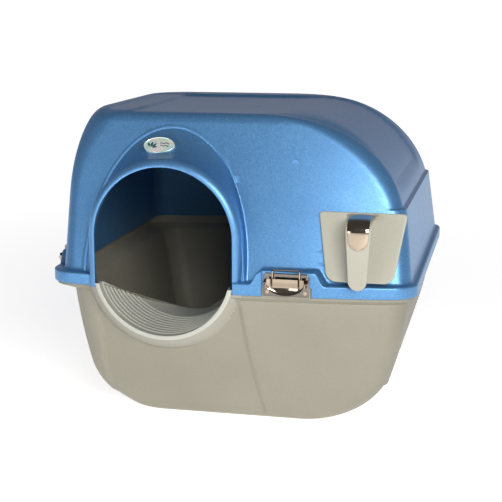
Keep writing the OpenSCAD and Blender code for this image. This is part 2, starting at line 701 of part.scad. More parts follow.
base();
hood();
entry_step();
badge();
filter_screen();
screen_screws();
tray_channel();
channel_screws();
waste_tray();
tray_front();
tray_screws();
handle_cap();
latch_rivets();
at_latch(0) latch_plate();  // front_latch_plate
at_latch(0) latch_pin();  // front_latch_pin
at_latch(0) latch_lever();  // front_latch_lever
at_latch(0) latch_loop();  // front_latch_loop
at_latch(1) latch_plate();  // back_latch_plate
at_latch(1) latch_pin();  // back_latch_pin
at_latch(1) latch_lever();  // back_latch_lever
at_latch(1) latch_loop();  // back_latch_loop
at_latch(2) latch_plate();  // left_front_latch_plate
at_latch(2) latch_pin();  // left_front_latch_pin
at_latch(2) latch_lever();  // left_front_latch_lever
at_latch(2) latch_loop();  // left_front_latch_loop
at_latch(3) latch_plate();  // left_rear_latch_plate
at_latch(3) latch_pin();  // left_rear_latch_pin
at_latch(3) latch_lever();  // left_rear_latch_lever
at_latch(3) latch_loop();  // left_rear_latch_loop
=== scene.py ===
import math

import bmesh
import bpy
import numpy as np
from mathutils import Matrix, Vector


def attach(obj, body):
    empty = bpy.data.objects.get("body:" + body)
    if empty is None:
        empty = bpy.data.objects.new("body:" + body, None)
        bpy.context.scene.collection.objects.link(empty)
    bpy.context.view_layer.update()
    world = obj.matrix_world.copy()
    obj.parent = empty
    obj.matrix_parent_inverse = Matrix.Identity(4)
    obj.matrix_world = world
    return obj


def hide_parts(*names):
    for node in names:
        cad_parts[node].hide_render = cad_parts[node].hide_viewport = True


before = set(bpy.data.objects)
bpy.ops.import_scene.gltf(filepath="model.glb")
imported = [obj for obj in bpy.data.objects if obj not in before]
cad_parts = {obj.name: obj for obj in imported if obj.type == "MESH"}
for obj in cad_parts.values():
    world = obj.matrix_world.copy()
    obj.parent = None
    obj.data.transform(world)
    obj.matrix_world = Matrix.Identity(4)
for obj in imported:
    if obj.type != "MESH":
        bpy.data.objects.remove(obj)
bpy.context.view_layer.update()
MM = 0.001

# ---------- Camera, floor and light ----------
# A long lens a little right of the front and above it, a pale floor that glows more with
# distance, and a soft studio: a near key on the right, a weak low fill on the left, and a
# dark room whose far wall is pale.

CAMERA_AT = Vector((0.3850, -1.8191, 0.5886))
CAMERA_TO = Vector((-0.0193, 0.0, 0.2002))
FOCAL = 86.88
lens = bpy.data.cameras.new("camera")
lens.lens = FOCAL
lens.sensor_width = 36.0
camera = bpy.data.objects.new("camera", lens)
camera.location = CAMERA_AT
camera.rotation_euler = (CAMERA_TO - CAMERA_AT).to_track_quat("-Z", "Y").to_euler()
bpy.context.collection.objects.link(camera)
bpy.context.scene.camera = camera
bpy.context.scene.view_settings.view_transform = "Standard"


def soft_light(name, place, aim, wide, high, power, tint):
    """A rectangular soft box of wide by high metres at place, turned to face aim."""
    data = bpy.data.lights.new(name, "AREA")
    data.shape = "RECTANGLE"
    data.size = wide
    data.size_y = high
    data.energy = power
    data.color = tint
    lamp = bpy.data.objects.new(name, data)
    lamp.location = place
    lamp.rotation_euler = (Vector(aim) - Vector(place)).to_track_quat("-Z", "Y").to_euler()
    bpy.context.collection.objects.link(lamp)


soft_light("key", (0.80, -1.75, 0.92), (0.10, 0, 0.27), 0.9, 0.7, 29, (1.0, 0.985, 0.96))
soft_light("fill", (-1.1, -2.2, 0.45), (0, 0, 0.30), 1.2, 0.6, 9, (0.95, 0.97, 1.0))

room = bpy.data.worlds.new("studio")
bpy.context.scene.world = room
room.use_nodes = True
nodes = room.node_tree.nodes
links = room.node_tree.links
nodes.clear()
heading = nodes.new("ShaderNodeTexCoord")
facing = nodes.new("ShaderNodeVectorMath")
wall_ramp = nodes.new("ShaderNodeValToRGB")
back_glow = nodes.new("ShaderNodeBackground")
room_out = nodes.new("ShaderNodeOutputWorld")
facing.operation = "DOT_PRODUCT"
facing.inputs[1].default_value = (0.0, 0.9, -0.43)
links.new(heading.outputs["Generated"], facing.inputs[0])
links.new(facing.outputs["Value"], wall_ramp.inputs[0])
links.new(wall_ramp.outputs[0], back_glow.inputs[0])
links.new(back_glow.outputs[0], room_out.inputs[0])
back_glow.inputs[1].default_value = 1.0
wall_ramp.color_ramp.elements[0].position = 0.0
wall_ramp.color_ramp.elements[0].color = (0.10, 0.10, 0.11, 1)
wall_ramp.color_ramp.elements[1].position = 1.0
wall_ramp.color_ramp.elements[1].color = (0.62, 0.56, 0.58, 1)
haze = wall_ramp.color_ramp.elements.new(0.4)
haze.color = (0.20, 0.20, 0.22, 1)

FLOOR_HALF = 3000.0                       # metres, so that its far edge meets the horizon
floor_mesh = bpy.data.meshes.new("floor")
floor_mesh.from_pydata([(-FLOOR_HALF, -FLOOR_HALF, 0), (FLOOR_HALF, -FLOOR_HALF, 0),
                        (FLOOR_HALF, FLOOR_HALF, 0), (-FLOOR_HALF, FLOOR_HALF, 0)], [], [(0, 1, 2, 3)])
floor = bpy.data.objects.new("floor", floor_mesh)
bpy.context.collection.objects.link(floor)
paper = bpy.data.materials.new("floor paper")
paper.use_nodes = True
sheet = paper.node_tree.nodes["Principled BSDF"]
sheet.inputs["Base Color"].default_value = (0.86, 0.86, 0.86, 1)
sheet.inputs["Roughness"].default_value = 0.9
sheet.inputs["Emission Color"].default_value = (1, 1, 1, 1)
from_middle = paper.node_tree.nodes.new("ShaderNodeVectorMath")
from_middle.operation = "LENGTH"
reach_map = paper.node_tree.nodes.new("ShaderNodeMapRange")
reach_map.inputs["From Min"].default_value = 0.6
reach_map.inputs["From Max"].default_value = 2.6
reach_map.inputs["To Min"].default_value = 0.74
reach_map.inputs["To Max"].default_value = 0.95
spot_on_floor = paper.node_tree.nodes.new("ShaderNodeTexCoord")
paper.node_tree.links.new(spot_on_floor.outputs["Object"], from_middle.inputs[0])
paper.node_tree.links.new(from_middle.outputs["Value"], reach_map.inputs[0])
paper.node_tree.links.new(reach_map.outputs[0], sheet.inputs["Emission Strength"])
floor_mesh.materials.append(paper)

# ---------- Litter pan ----------
# The lower half: a thick polypropylene pan, injection moulded in one piece with a matte
# grained face. It rolls on its right side, so its ends are drawn as two long curves.
# A stepped rim carries the hood, and a bevelled band frames the entry.

BODY_W, BODY_D, BODY_H, WALL = 520.0, 536.0, 435.0, 3.0
HALF_W, HALF_D = BODY_W / 2, BODY_D / 2
SKIRT_Z, SKIRT_H, SKIRT_R, BOW = 195.0, 17.0, 34.0, 24.0
LEDGE_Z = SKIRT_Z + SKIRT_H
RIM_IN = WALL + 1
RIM_TOP = LEDGE_Z - WALL
FLOOR_L, FLOOR_R = -120.0, 107.0          # ends of the flat floor
KEEL_L, KEEL_R, KEEL_D = 92.0, 128.0, 200.0
BASE_LEFT, BASE_RIGHT, BASE_FOOT = -231.0, 245.0, 256.0
SIDE_Z = 64.0                             # foot of the right side's standing panel
PAN_TOP = SKIRT_Z - 8
ENTRY_X, ENTRY_LOW, ENTRY_HIGH, ENTRY_R = -85.0, 226.0, 268.0, 98.0
LIP_Y = -(HALF_D - 4)
LATCH_X, LATCH_Y = 88.0, 148.0
BAY_LEFT, BAY_LEFT_LEAN = -189.0, 0.068   # the front's stepped-back bay: its left line
BAY_RIGHT, BAY_RIGHT_LEAN = 22.0, 0.164   # and its right line
BAY_DEEP = 4.5


def ring_plan(front, right, back, left, corner):
    """Places of the points round a rounded rectangle, from the front left corner and
    anticlockwise: u and v run 0 to 1 along X and Y between the corner centres, and turn is
    the direction of the corner radius. front, right, back and left are rising fractions."""
    arc = np.linspace(0, math.pi / 2, corner + 2)[1:-1]
    sides = [(front, 0 * front, 0 * front - math.pi / 2), (1 + 0 * arc, 0 * arc, arc - math.pi / 2),
             (1 + 0 * right, right, 0 * right), (1 + 0 * arc, 1 + 0 * arc, arc),
             (1 - back, 1 + 0 * back, 0 * back + math.pi / 2), (0 * arc, 1 + 0 * arc, arc + math.pi / 2),
             (0 * left, 1 - left, 0 * left + math.pi), (0 * arc, 0 * arc, arc + math.pi)]
    return np.concatenate([np.stack(side) for side in sides], axis=1)


def ring_points(plan, left, right, deep, corner, bow, z):
    """Rounded rectangles of half depth deep between x = left and x = right, with their
    front and back bowed: y is scaled by 1 - bow / deep * (x / half width) squared."""
    u, v, turn = plan
    x = left + corner + u * (right - left - 2 * corner) + corner * np.cos(turn)
    y = (2 * v - 1) * (deep - corner) + corner * np.sin(turn)
    y = y * (1 - bow / deep * (x / HALF_W) ** 2)
    return np.stack(np.broadcast_arrays(x, y, z), axis=-1)


def shrunk(ring, count, middle, away):
    """Rows that fill a ring: the ring drawn towards its middle by even steps, listed from
    the middle outwards, or inwards when away is false."""
    share = np.linspace(0, 1, count + 2)[1:-1]
    rows = middle + (ring[None] - middle) * share[:, None, None]
    return rows if away else rows[::-1]


def solid(name, spots, faces):
    """A closed mesh from points in millimetres and faces, turned right side out: the signed
    volume under its faces must be positive."""
    mesh = bpy.data.meshes.new(name)
    mesh.from_pydata((spots * MM).tolist(), [], faces)
    shape = bmesh.new()
    shape.from_mesh(mesh)
    if shape.calc_volume(signed=True) < 0:
        mesh.flip_normals()
    shape.free()
    piece = bpy.data.objects.new(name, mesh)
    bpy.context.collection.objects.link(piece)
    return piece


def skin(name, rows, first=None, last=None):
    """A closed skin over a grid of rows, joined round and closed at both ends by fans to
    the points first and last, or to the middles of the end rows."""
    first = rows[0].mean(axis=0) if first is None else first
    last = rows[-1].mean(axis=0) if last is None else last
    count, around = rows.shape[:2]
    spots = np.concatenate([rows.reshape(-1, 3), [first, last]])
    ring = np.arange(around)
    ahead = (ring + 1) % around
    level = np.arange(count - 1)[:, None] * around
    quads = np.stack([level + ring, level + ahead, level + around + ahead, level + around + ring], axis=-1)
    end = (count - 1) * around
    fan_a = np.stack([ahead, ring, np.full(around, count * around)], axis=-1)
    fan_b = np.stack([end + ring, end + ahead, np.full(around, count * around + 1)], axis=-1)
    return solid(name, spots, quads.reshape(-1, 4).tolist() + fan_a.tolist() + fan_b.tolist())


def prism(name, outline, y0, y1):
    """A closed bar along Y from y0 to y1, its outline given in X and Z, anticlockwise
    seen from the front."""
    outline = np.asarray(outline, float)
    count = len(outline)
    ends = [np.stack([outline[:, 0], np.full(count, y), outline[:, 1]], axis=-1) for y in (y0, y1)]
    ring = np.arange(count)
    ahead = (ring + 1) % count
    sides = np.stack([ring + count, ahead + count, ahead, ring], axis=-1)
    caps = [list(range(count)), list(range(2 * count - 1, count - 1, -1))]
    return solid(name, np.concatenate(ends), sides.tolist() + caps)


def turned(name, profile, start, stop, steps, axis_x=ENTRY_X, axis_z=ENTRY_LOW):
    """A closed profile of (radius, y) points turned about an axis along Y, from angle
    start to stop in degrees, 0 straight down and rising to the right. A full turn joins up."""
    profile = np.asarray(profile, float)
    whole = stop - start >= 360
    angle = np.radians(np.linspace(start, stop, steps + 1)[:steps if whole else steps + 1])
    r, y = profile[:, 0], profile[:, 1]
    grid = np.stack(np.broadcast_arrays(axis_x + r * np.sin(angle)[:, None], y,
                                        axis_z - r * np.cos(angle)[:, None]), axis=-1)
    rows, around = grid.shape[:2]
    ring = np.arange(around)
    ahead = (ring + 1) % around
    row = np.arange(rows if whole else rows - 1)[:, None]
    here = row * around
    there = (row + 1) % rows * around
    quads = np.stack([here + ring, here + ahead, there + ahead, there + ring], axis=-1)
    caps = [] if whole else [list(range(around - 1, -1, -1)),
                             list(range((rows - 1) * around, rows * around))]
    return solid(name, grid.reshape(-1, 3), quads.reshape(-1, 4).tolist() + caps)


def carve(piece, cuts, adds, sharp=32):
    """Cuts and adds closed solids to a closed piece, bakes the result into its mesh and
    shades it smooth, apart from edges sharper than the angle given in degrees."""
    for operation, solids in (("UNION", adds), ("DIFFERENCE", cuts)):
        for body in solids:
            tool = piece.modifiers.new(body.name, "BOOLEAN")
            tool.operation = operation
            tool.solver = "MANIFOLD"
            tool.object = body
    graph = bpy.context.evaluated_depsgraph_get()
    made = bpy.data.meshes.new_from_object(piece.evaluated_get(graph))
    piece.modifiers.clear()
    old = piece.data
    piece.data = made
    made.name = piece.name
    bpy.data.meshes.remove(old)
    for body in cuts + adds:
        bpy.data.objects.remove(body)
    smooth(piece, sharp)
    return piece


def smooth(piece, sharp=32):
    """Smooth shading that keeps edges sharper than the angle, in degrees, crisp."""
    piece.data.shade_smooth()
    piece.data.set_sharp_from_angle(angle=math.radians(sharp))


def ease(value, low, high):
    """0 below low, 1 above high, and a smooth S between them."""
    t = np.clip((value - low) / (high - low), 0, 1)
    return t * t * (3 - 2 * t)


SPOTS = {"front": (0, LATCH_X, -(HALF_D - BOW * (LATCH_X / HALF_W) ** 2)),
         "back": (180, LATCH_X, HALF_D - BOW * (LATCH_X / HALF_W) ** 2),
         "left_front": (-90, -HALF_W, -LATCH_Y), "left_rear": (-90, -HALF_W, LATCH_Y)}


def to_latch(piece, spot):
    """Turns and moves a mesh drawn at a latch's own origin to its place on the skirt."""
    turn, x, y = SPOTS[spot]
    place = Matrix.Translation((x * MM, y * MM, SKIRT_Z * MM)) @ Matrix.Rotation(math.radians(turn), 4, "Z")
    piece.data.transform(place)
    return piece


def block(name, low, high):
    """A closed box between two corners."""
    (x0, y0, z0), (x1, y1, z1) = low, high
    return prism(name, [(x0, z0), (x1, z0), (x1, z1), (x0, z1)], y0, y1)


def base_left(z, t):
    """The pan's left side: a quarter circle, then a straight wall that leans out a little."""
    bend = KEEL_L * (1 - math.sin(math.radians(10)))
    foot = FLOOR_L - KEEL_L * math.cos(math.radians(10))
    slope = (foot - BASE_LEFT) / (PAN_TOP - bend)
    curve = FLOOR_L - np.sqrt(np.maximum(0, (KEEL_L - t) ** 2 - (KEEL_L - z) ** 2))
    return np.where(z <= bend, curve, foot + t - (z - bend) * slope)


def base_right(z, t):
    """The pan's right side: a long circle, then a panel that stands 3 mm proud and swells
    as a sine towards the rim."""
    foot = math.sqrt(KEEL_R ** 2 - (KEEL_R - SIDE_Z) ** 2)
    share = np.clip((z - SIDE_Z) / (PAN_TOP - SIDE_Z), 0, 1)
    curve = FLOOR_R + np.sqrt(np.maximum(0, (KEEL_R - t) ** 2 - (KEEL_R - z) ** 2))
    panel = FLOOR_R + foot + 3 - t + (BASE_RIGHT - FLOOR_R - foot - 3) * np.sin(math.pi / 2 * share)
    return np.where(z < SIDE_Z, curve, panel)


def base_rows(z, t, shy=0.0):
    """Rings of the pan at heights z, t inside its outer face; shy draws the front and back
    in further. Front and back lean out as a sine of the height to the power 0.8."""
    z = np.asarray(z, float)[:, None] + 0 * PAN_PLAN[0]
    rise = np.sin(math.pi / 2 * np.minimum(1, z / PAN_TOP) ** 0.8)
    deep = KEEL_D + (BASE_FOOT - KEEL_D) * rise - t - shy
    bow = BOW * np.minimum(1, z / PAN_TOP)
    rows = ring_points(PAN_PLAN, base_left(z, t), base_right(z, t), deep, 30 - t, bow, z)
    # the front steps back between two slanting lines round the entry
    x, y = rows[..., 0], rows[..., 1]
    left_line = BAY_LEFT + (170 - z) * BAY_LEFT_LEAN
    right_line = BAY_RIGHT + (180 - z) * BAY_RIGHT_LEAN
    bay = ease(x, left_line - 2, left_line + 5) * (1 - ease(x, right_line - 5, right_line + 2))
    rows[..., 1] += BAY_DEEP * bay * (y < 0) * ease(z, 4, 16) * (1 - ease(z, 178, 187))
    return rows


def skirt_rows(plan, z, t):
    """Rings that follow the skirt's outline, t inside its outer face."""
    z = np.asarray(z, float)[:, None] + 0 * plan[0]
    t = np.asarray(t, float) + 0 * z
    return ring_points(plan, -HALF_W + t, HALF_W - t, HALF_D - t, SKIRT_R - t, BOW, z)


PAN_PLAN = ring_plan(np.linspace(0, 1, 132), np.linspace(0, 1, 40), np.linspace(0, 1, 70),
                     np.linspace(0, 1, 40), 9)
swing = np.radians(np.linspace(0, 59.6, 30))
curve_z = KEEL_R * (1 - np.cos(swing))
side_z = np.concatenate([[SIDE_Z - 0.5, SIDE_Z + 0.5, SIDE_Z + 1.2],
                         np.linspace(SIDE_Z + 4, SKIRT_Z - 10, 34)])
outer_z = np.concatenate([curve_z, side_z])
FLOOR_EDGE = 7.0                          # round between the floor and the front
floor_round = FLOOR_EDGE - np.sqrt(np.maximum(0, FLOOR_EDGE ** 2 - (FLOOR_EDGE - outer_z) ** 2))
pan_outer = base_rows(outer_z, 0, np.where(outer_z < FLOOR_EDGE, floor_round, 0)[:, None])
roll = np.radians([0, 30, 60, 90])
pan_rim = np.concatenate([
    skirt_rows(PAN_PLAN, [SKIRT_Z - 4, RIM_TOP - 1], np.full((2, 1), RIM_IN)),
    skirt_rows(PAN_PLAN, RIM_TOP - 1 + np.sin(roll), (RIM_IN + 1 - np.cos(roll))[:, None]),
    skirt_rows(PAN_PLAN, [RIM_TOP, SKIRT_Z], np.full((2, 1), RIM_IN + WALL))])
inner_z = np.concatenate([outer_z[::-1][::2], [5.0]])
pan_inner = base_rows(np.maximum(inner_z, WALL + 2), WALL)
pan_floor = base_rows([WALL], WALL, 8.0)
MIDDLE = np.array([-10.0, 0, 0])
pan_rows = np.concatenate([shrunk(pan_outer[0], 10, MIDDLE, True), pan_outer, pan_rim, pan_inner, pan_floor,
                           shrunk(pan_floor[0], 8, MIDDLE + [0, 0, WALL], False)])
pan = skin("litter_pan", pan_rows, MIDDLE, MIDDLE + [0, 0, WALL])

BEVEL_IN, BEVEL_OUT = ENTRY_R + 3.4, ENTRY_R + 19.0       # radii of the band's bevel
BEVEL_Y, BEVEL_DEEP = LIP_Y + 0.5, 18.0                   # its front edge, and how far it runs back
BAND_BACK = LIP_Y + 34
band = [(ENTRY_R - 4, LIP_Y + 0.8), (ENTRY_R + 2.2, LIP_Y + 0.1), (BEVEL_IN, BEVEL_Y),
        (BEVEL_OUT, BEVEL_Y + BEVEL_DEEP), (ENTRY_R + 20.2, LIP_Y + 21), (ENTRY_R + 20, BAND_BACK),
        (ENTRY_R - 4, BAND_BACK)]
collar = turned("collar", band, -90, 90, 96)
collar = carve(collar, [block("collar_top", (-300, -300, SKIRT_Z - 0.4), (150, -200, 330))], [])
PAD_HALF = 32.8
pads = [to_latch(block(spot + "_pad", (-PAD_HALF, 1, -1), (PAD_HALF, RIM_IN + 3.5, SKIRT_H - 4)), spot)
        for spot in SPOTS]
doorway = turned("doorway", [(0.01, -HALF_D - 20), (0.01, -KEEL_D + 20), (ENTRY_R, -KEEL_D + 20),
                             (ENTRY_R, -HALF_D - 20)], 0, 360, 128)
rim_gap = block("rim_gap", (ENTRY_X - 122, -HALF_D - 5, SKIRT_Z - 0.5),
                (ENTRY_X + 116, -HALF_D + 45, SKIRT_Z + 30))
carve(pan, [doorway, rim_gap], [collar] + pads)


class Look:
    """A material under construction: its nodes and links, and the pattern coordinates in
    metres on the piece itself."""

    def __init__(self, name, **sockets):
        self.material = bpy.data.materials.new(name)
        self.material.use_nodes = True
        self.tree = self.material.node_tree
        self.shader = self.tree.nodes["Principled BSDF"]
        self.place = self.tree.nodes.new("ShaderNodeTexCoord").outputs["Object"]
        for socket, value in sockets.items():
            self.shader.inputs[socket.replace("_", " ")].default_value = value

    def noise(self, scale, detail=3.0, stretch=None):
        """Soft random blotches, scale of them to a metre, drawn out along the axes if asked."""
        node = self.tree.nodes.new("ShaderNodeTexNoise")
        node.inputs["Scale"].default_value = scale
        node.inputs["Detail"].default_value = detail
        place = self.place
        if stretch:
            mapping = self.tree.nodes.new("ShaderNodeMapping")
            mapping.inputs["Scale"].default_value = stretch
            self.tree.links.new(place, mapping.inputs[0])
            place = mapping.outputs[0]
        self.tree.links.new(place, node.inputs["Vector"])
        return node.outputs["Fac"]

    def cells(self, scale):
        """Random flakes, each with its own grey."""
        node = self.tree.nodes.new("ShaderNodeTexVoronoi")
        node.inputs["Scale"].default_value = scale
        self.tree.links.new(self.place, node.inputs["Vector"])
        grey = self.tree.nodes.new("ShaderNodeSeparateColor")
        self.tree.links.new(node.outputs["Color"], grey.inputs[0])
        return grey.outputs[0]

    def ramp(self, value, stops):
        """Colours or greys at chosen values of a pattern."""
        node = self.tree.nodes.new("ShaderNodeValToRGB")
        row = node.color_ramp.elements
        while len(row) < len(stops):
            row.new(0.5)
        for element, (spot, tone) in zip(row, stops):
            element.position = spot
            element.color = (*tone, 1) if isinstance(tone, tuple) else (tone, tone, tone, 1)
        self.tree.links.new(value, node.inputs[0])
        return node.outputs[0]

    def mix(self, share, a, b, how="MIX"):
        """One colour over another; share may be a number or a pattern."""
        node = self.tree.nodes.new("ShaderNodeMix")
        node.data_type = "RGBA"
        node.blend_type = how
        for value, socket in ((share, node.inputs[0]), (a, node.inputs[6]), (b, node.inputs[7])):
            if hasattr(value, "node"):
                self.tree.links.new(value, socket)
            else:
                socket.default_value = value
        return node.outputs[2]

    def set(self, socket, value):
        """Feeds a pattern into one of the shader's sockets."""
        self.tree.links.new(value, self.shader.inputs[socket])

    def bump(self, value, depth, strength=0.6):
        """Raises the surface by a pattern, depth in millimetres."""
        node = self.tree.nodes.new("ShaderNodeBump")
        node.inputs["Strength"].default_value = strength
        node.inputs["Distance"].default_value = depth * MM
        self.tree.links.new(value, node.inputs["Height"])
        if self.shader.inputs["Normal"].is_linked:
            self.tree.links.new(self.shader.inputs["Normal"].links[0].from_socket, node.inputs["Normal"])
        self.tree.links.new(node.outputs[0], self.shader.inputs["Normal"])


def moulded(name, light, dark, rough, grain):
    """Matte moulded plastic: two close tones in broad cloudy patches with faint flow lines,
    a fine spark-eroded grain, and a gloss that varies where hands and litter rub it."""
    look = Look(name, IOR=1.5)
    cloud = look.ramp(look.noise(9, 4), [(0.32, dark), (0.68, light)])
    fleck = look.ramp(look.noise(420, 2), [(0.25, (0.93, 0.93, 0.92)), (0.75, (1.0, 1.0, 1.0))])
    look.set("Base Color", look.mix(1.0, cloud, fleck, "MULTIPLY"))
    look.set("Roughness", look.ramp(look.noise(38, 5), [(0.25, rough - 0.06), (0.75, rough + 0.06)]))
    look.bump(look.noise(1500, 2), 0.12 * grain, 0.5)
    look.bump(look.noise(26, 3, (1, 1, 3)), 0.25 * grain, 0.25)
    return look.material


pan_finish = moulded("greige moulding", (0.285, 0.268, 0.212), (0.258, 0.242, 0.188), 0.50, 1.0)
# painted light: the collar's finish is the pan's moulding made paler, standing for the light on the
# forward-facing bevel
collar_painted_light_finish = moulded("collar moulding paler as painted light", (0.350, 0.338, 0.285), (0.325, 0.313, 0.262), 0.48, 0.8)
pan.data.materials.clear()
pan.data.materials.append(pan_finish)
pan.data.materials.append(collar_painted_light_finish)
faces = pan.data.polygons
centre = np.empty(3 * len(faces))
faces.foreach_get("center", centre)
centre = centre.reshape(-1, 3) / MM
from_axis = np.hypot(centre[:, 0] - ENTRY_X, centre[:, 2] - ENTRY_LOW)
# painted light: a paler copy of the pan's moulding goes on the faces that lie on the band's bevel or in
# front of it, standing for the light these forward-facing faces catch
bevel_y = BEVEL_Y + (from_axis - BEVEL_IN) * BEVEL_DEEP / (BEVEL_OUT - BEVEL_IN)
on_bevel = (np.abs(centre[:, 1] - bevel_y) < 0.7) | (centre[:, 1] < LIP_Y + 0.9)
painted_light_faces = (from_axis < BEVEL_OUT) & on_bevel & (centre[:, 2] < SKIRT_Z)
faces.foreach_set("material_index", painted_light_faces.astype(np.int32))
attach(pan, "box")
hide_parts("base")

# ---------- Hood ----------
# The cover: one thin moulding in pearlescent blue plastic. Its skirt drops over the pan's
# rim, and a ledge runs round above it, raised at each latch.
# A swept arch frames the entry, and a shallow panel with a rail behind it crosses the roof.

LEAN = math.radians(18.4)
ROOF_R, EDGE_R, HOOD_R, CROWN_R = 170.0, 25.0, 21.0, 58.0
LEFT_WALL, CURVE_X, CURVE_Z = -244.0, 71.0, 265.0
CROWN_A, CROWN_B = 33.0, 110.0            # half axes of the round at the roof's left
PANEL_Z, PANEL_STEP, PANEL_SLOPE = 309.0, 5.0, 0.12
FACE_FOOT = 256.0
ROUND_Z = BODY_H - EDGE_R
ROUND_Y = FACE_FOOT - (ROUND_Z - LEDGE_Z) * math.tan(LEAN) - EDGE_R / math.cos(LEAN)
BUMP_H, BUMP_TOP, BUMP_FOOT = 18.0, 76.0, 100.0
ARCH_X, ARCH_Z, ARCH_A, ARCH_B = ENTRY_X - 3, 219.0, 118.0, 193.0
LIP_ROLL = 11.0                           # how far the lip rolls over, out and back
TRAY_X, TRAY_W, TRAY_FOOT, TRAY_Z, TRAY_H = 185.0, 84.0, 54.0, 226.0, 66.0


def hood_left(z, t):
    """The hood's left wall: upright, then a quarter ellipse over to the roof."""
    reach = np.clip((z - BODY_H + CROWN_B) / (CROWN_B - t), 0, 1)
    return LEFT_WALL + CROWN_A - (CROWN_A - t) * np.sqrt(1 - reach ** 2)


def hood_right(z, t):
    """The hood's right side: a quarter circle from the roof, then a panel that stands
    proud of it and leans out towards the ledge, with a soft step between them."""
    curve = CURVE_X + np.sqrt(np.maximum(0, (ROOF_R - t) ** 2 - (z - CURVE_Z) ** 2))
    foot = CURVE_X + math.sqrt(ROOF_R ** 2 - (PANEL_Z - CURVE_Z) ** 2)
    panel = foot + PANEL_STEP + (PANEL_Z - z) * PANEL_SLOPE - t
    step = ease(z, PANEL_Z, PANEL_Z + 2.4)
    return curve * step + panel * (1 - step)


def hood_deep(z, t):
    """Half depth of the front and back walls: a leaning plane, then a round edge."""
    plane = FACE_FOOT - (z - LEDGE_Z) * math.tan(LEAN) - t / math.cos(LEAN)
    edge = ROUND_Y + np.sqrt(np.maximum(0, (EDGE_R - t) ** 2 - (z - ROUND_Z) ** 2))
    return np.where(z <= ROUND_Z + (EDGE_R - t) * math.sin(LEAN), plane, edge)


def hood_rows(z, t, plan):
    """Rings of the hood at heights z, t inside its outer face. The bow of the front eases
    off and the corner radius grows as the square of the height above the side panel."""
    high = np.maximum(0, z - PANEL_Z) / (BODY_H - PANEL_Z)
    corner = np.maximum(4, HOOD_R - t + (CROWN_R - HOOD_R) * high ** 2)
    bow = BOW + (8 - BOW) * (z - LEDGE_Z) / (BODY_H - LEDGE_Z)
    return ring_points(plan, hood_left(z, t), hood_right(z, t), hood_deep(z, t), corner, bow, z)


def spread(stops):
    """Fractions from 0 to 1 with a chosen number of even steps between the stops."""
    runs = [np.linspace(a, b, count, endpoint=False) for (a, count), (b, _) in zip(stops, stops[1:])]
    return np.concatenate(runs + [[1.0]])


def keeper_lift(x, y):
    """Height of the ledge's raised keepers: a flat top over each latch with an S to each
    side, found from the skirt's outline at the same place round the hood."""
    top, foot = BUMP_TOP / 2 - 1, BUMP_FOOT / 2 + 1
    front = BUMP_H * (1 - ease(np.abs(x - LATCH_X), top, foot))
    side = BUMP_H * (1 - ease(np.abs(np.abs(y) - LATCH_Y), top, foot))
    on_front = np.abs(y) > 225
    on_side = (x < -HALF_W + 8) & ~on_front
    return front * on_front + side * on_side


HOOD_PLAN = ring_plan(spread([(0, 24), (0.56, 50), (0.86, 9), (1, 0)]), np.linspace(0, 1, 26),
                      spread([(0, 9), (0.14, 50), (0.44, 20), (1, 0)]),
                      spread([(0, 2), (0.03, 42), (0.31, 14), (0.69, 42), (0.97, 2), (1, 0)]), 10)
around = HOOD_PLAN.shape[1]
skirt_ring = skirt_rows(HOOD_PLAN, [LEDGE_Z], np.zeros((1, 1)))[0]
lift = keeper_lift(skirt_ring[:, 0], skirt_ring[:, 1])

# skirt: from its lower edge up to the ledge's round, lifted with the keepers
quarter = np.radians(np.linspace(0, 90, 5))
skirt_z = np.concatenate([[SKIRT_Z, SKIRT_Z + 0.3, SKIRT_Z + 1, SKIRT_Z + 5, SKIRT_Z + 10],
                          LEDGE_Z - 3 + 3 * np.sin(quarter)])
skirt_t = np.concatenate([[1.0, 0.3, 0, 0, 0], 3 - 3 * np.cos(quarter)])[:, None]
outer_skirt = skirt_rows(HOOD_PLAN, skirt_z, skirt_t)
outer_skirt[..., 2] += lift * ease(outer_skirt[..., 2], SKIRT_Z + 2, LEDGE_Z - 4)
# wall: its foot starts with a hollow round off the ledge
FOOT_R = 3.0
foot_z = LEDGE_Z + FOOT_R * (1 - np.cos(quarter))
foot_out = FOOT_R * (1 - np.sin(quarter))
wall_z = np.concatenate([np.linspace(LEDGE_Z + 6, LEDGE_Z + 52, 15),
                         np.linspace(LEDGE_Z + 57, PANEL_Z - 1, 9),
                         PANEL_Z + np.array([0, 0.6, 1.2, 1.8, 2.4, 4.0])])
curve_from = math.degrees(math.asin((PANEL_Z + 6.5 - CURVE_Z) / ROOF_R))
roof_z = CURVE_Z + ROOF_R * np.sin(np.radians(np.linspace(curve_from, 90, 74)))
rise_z = np.concatenate([foot_z, wall_z, roof_z])[:, None] + 0 * lift
fade = np.clip(1 - (rise_z - LEDGE_Z - FOOT_R) / 50, 0, 1)
rise_z = rise_z + lift * fade
outer_wall = hood_rows(rise_z, 0, HOOD_PLAN)
outer_wall[:5] = hood_rows(rise_z[:5], -foot_out[:, None], HOOD_PLAN)
ledge_mix = np.linspace(0, 1, 6)[1:-1, None, None]
ledge = outer_skirt[-1] * (1 - ledge_mix) + outer_wall[0] * ledge_mix
TOP = np.array([-62.0, 0, BODY_H])
roof_fill = shrunk(outer_wall[-1], 54, TOP, False)
outer = np.concatenate([outer_wall[5:], roof_fill])

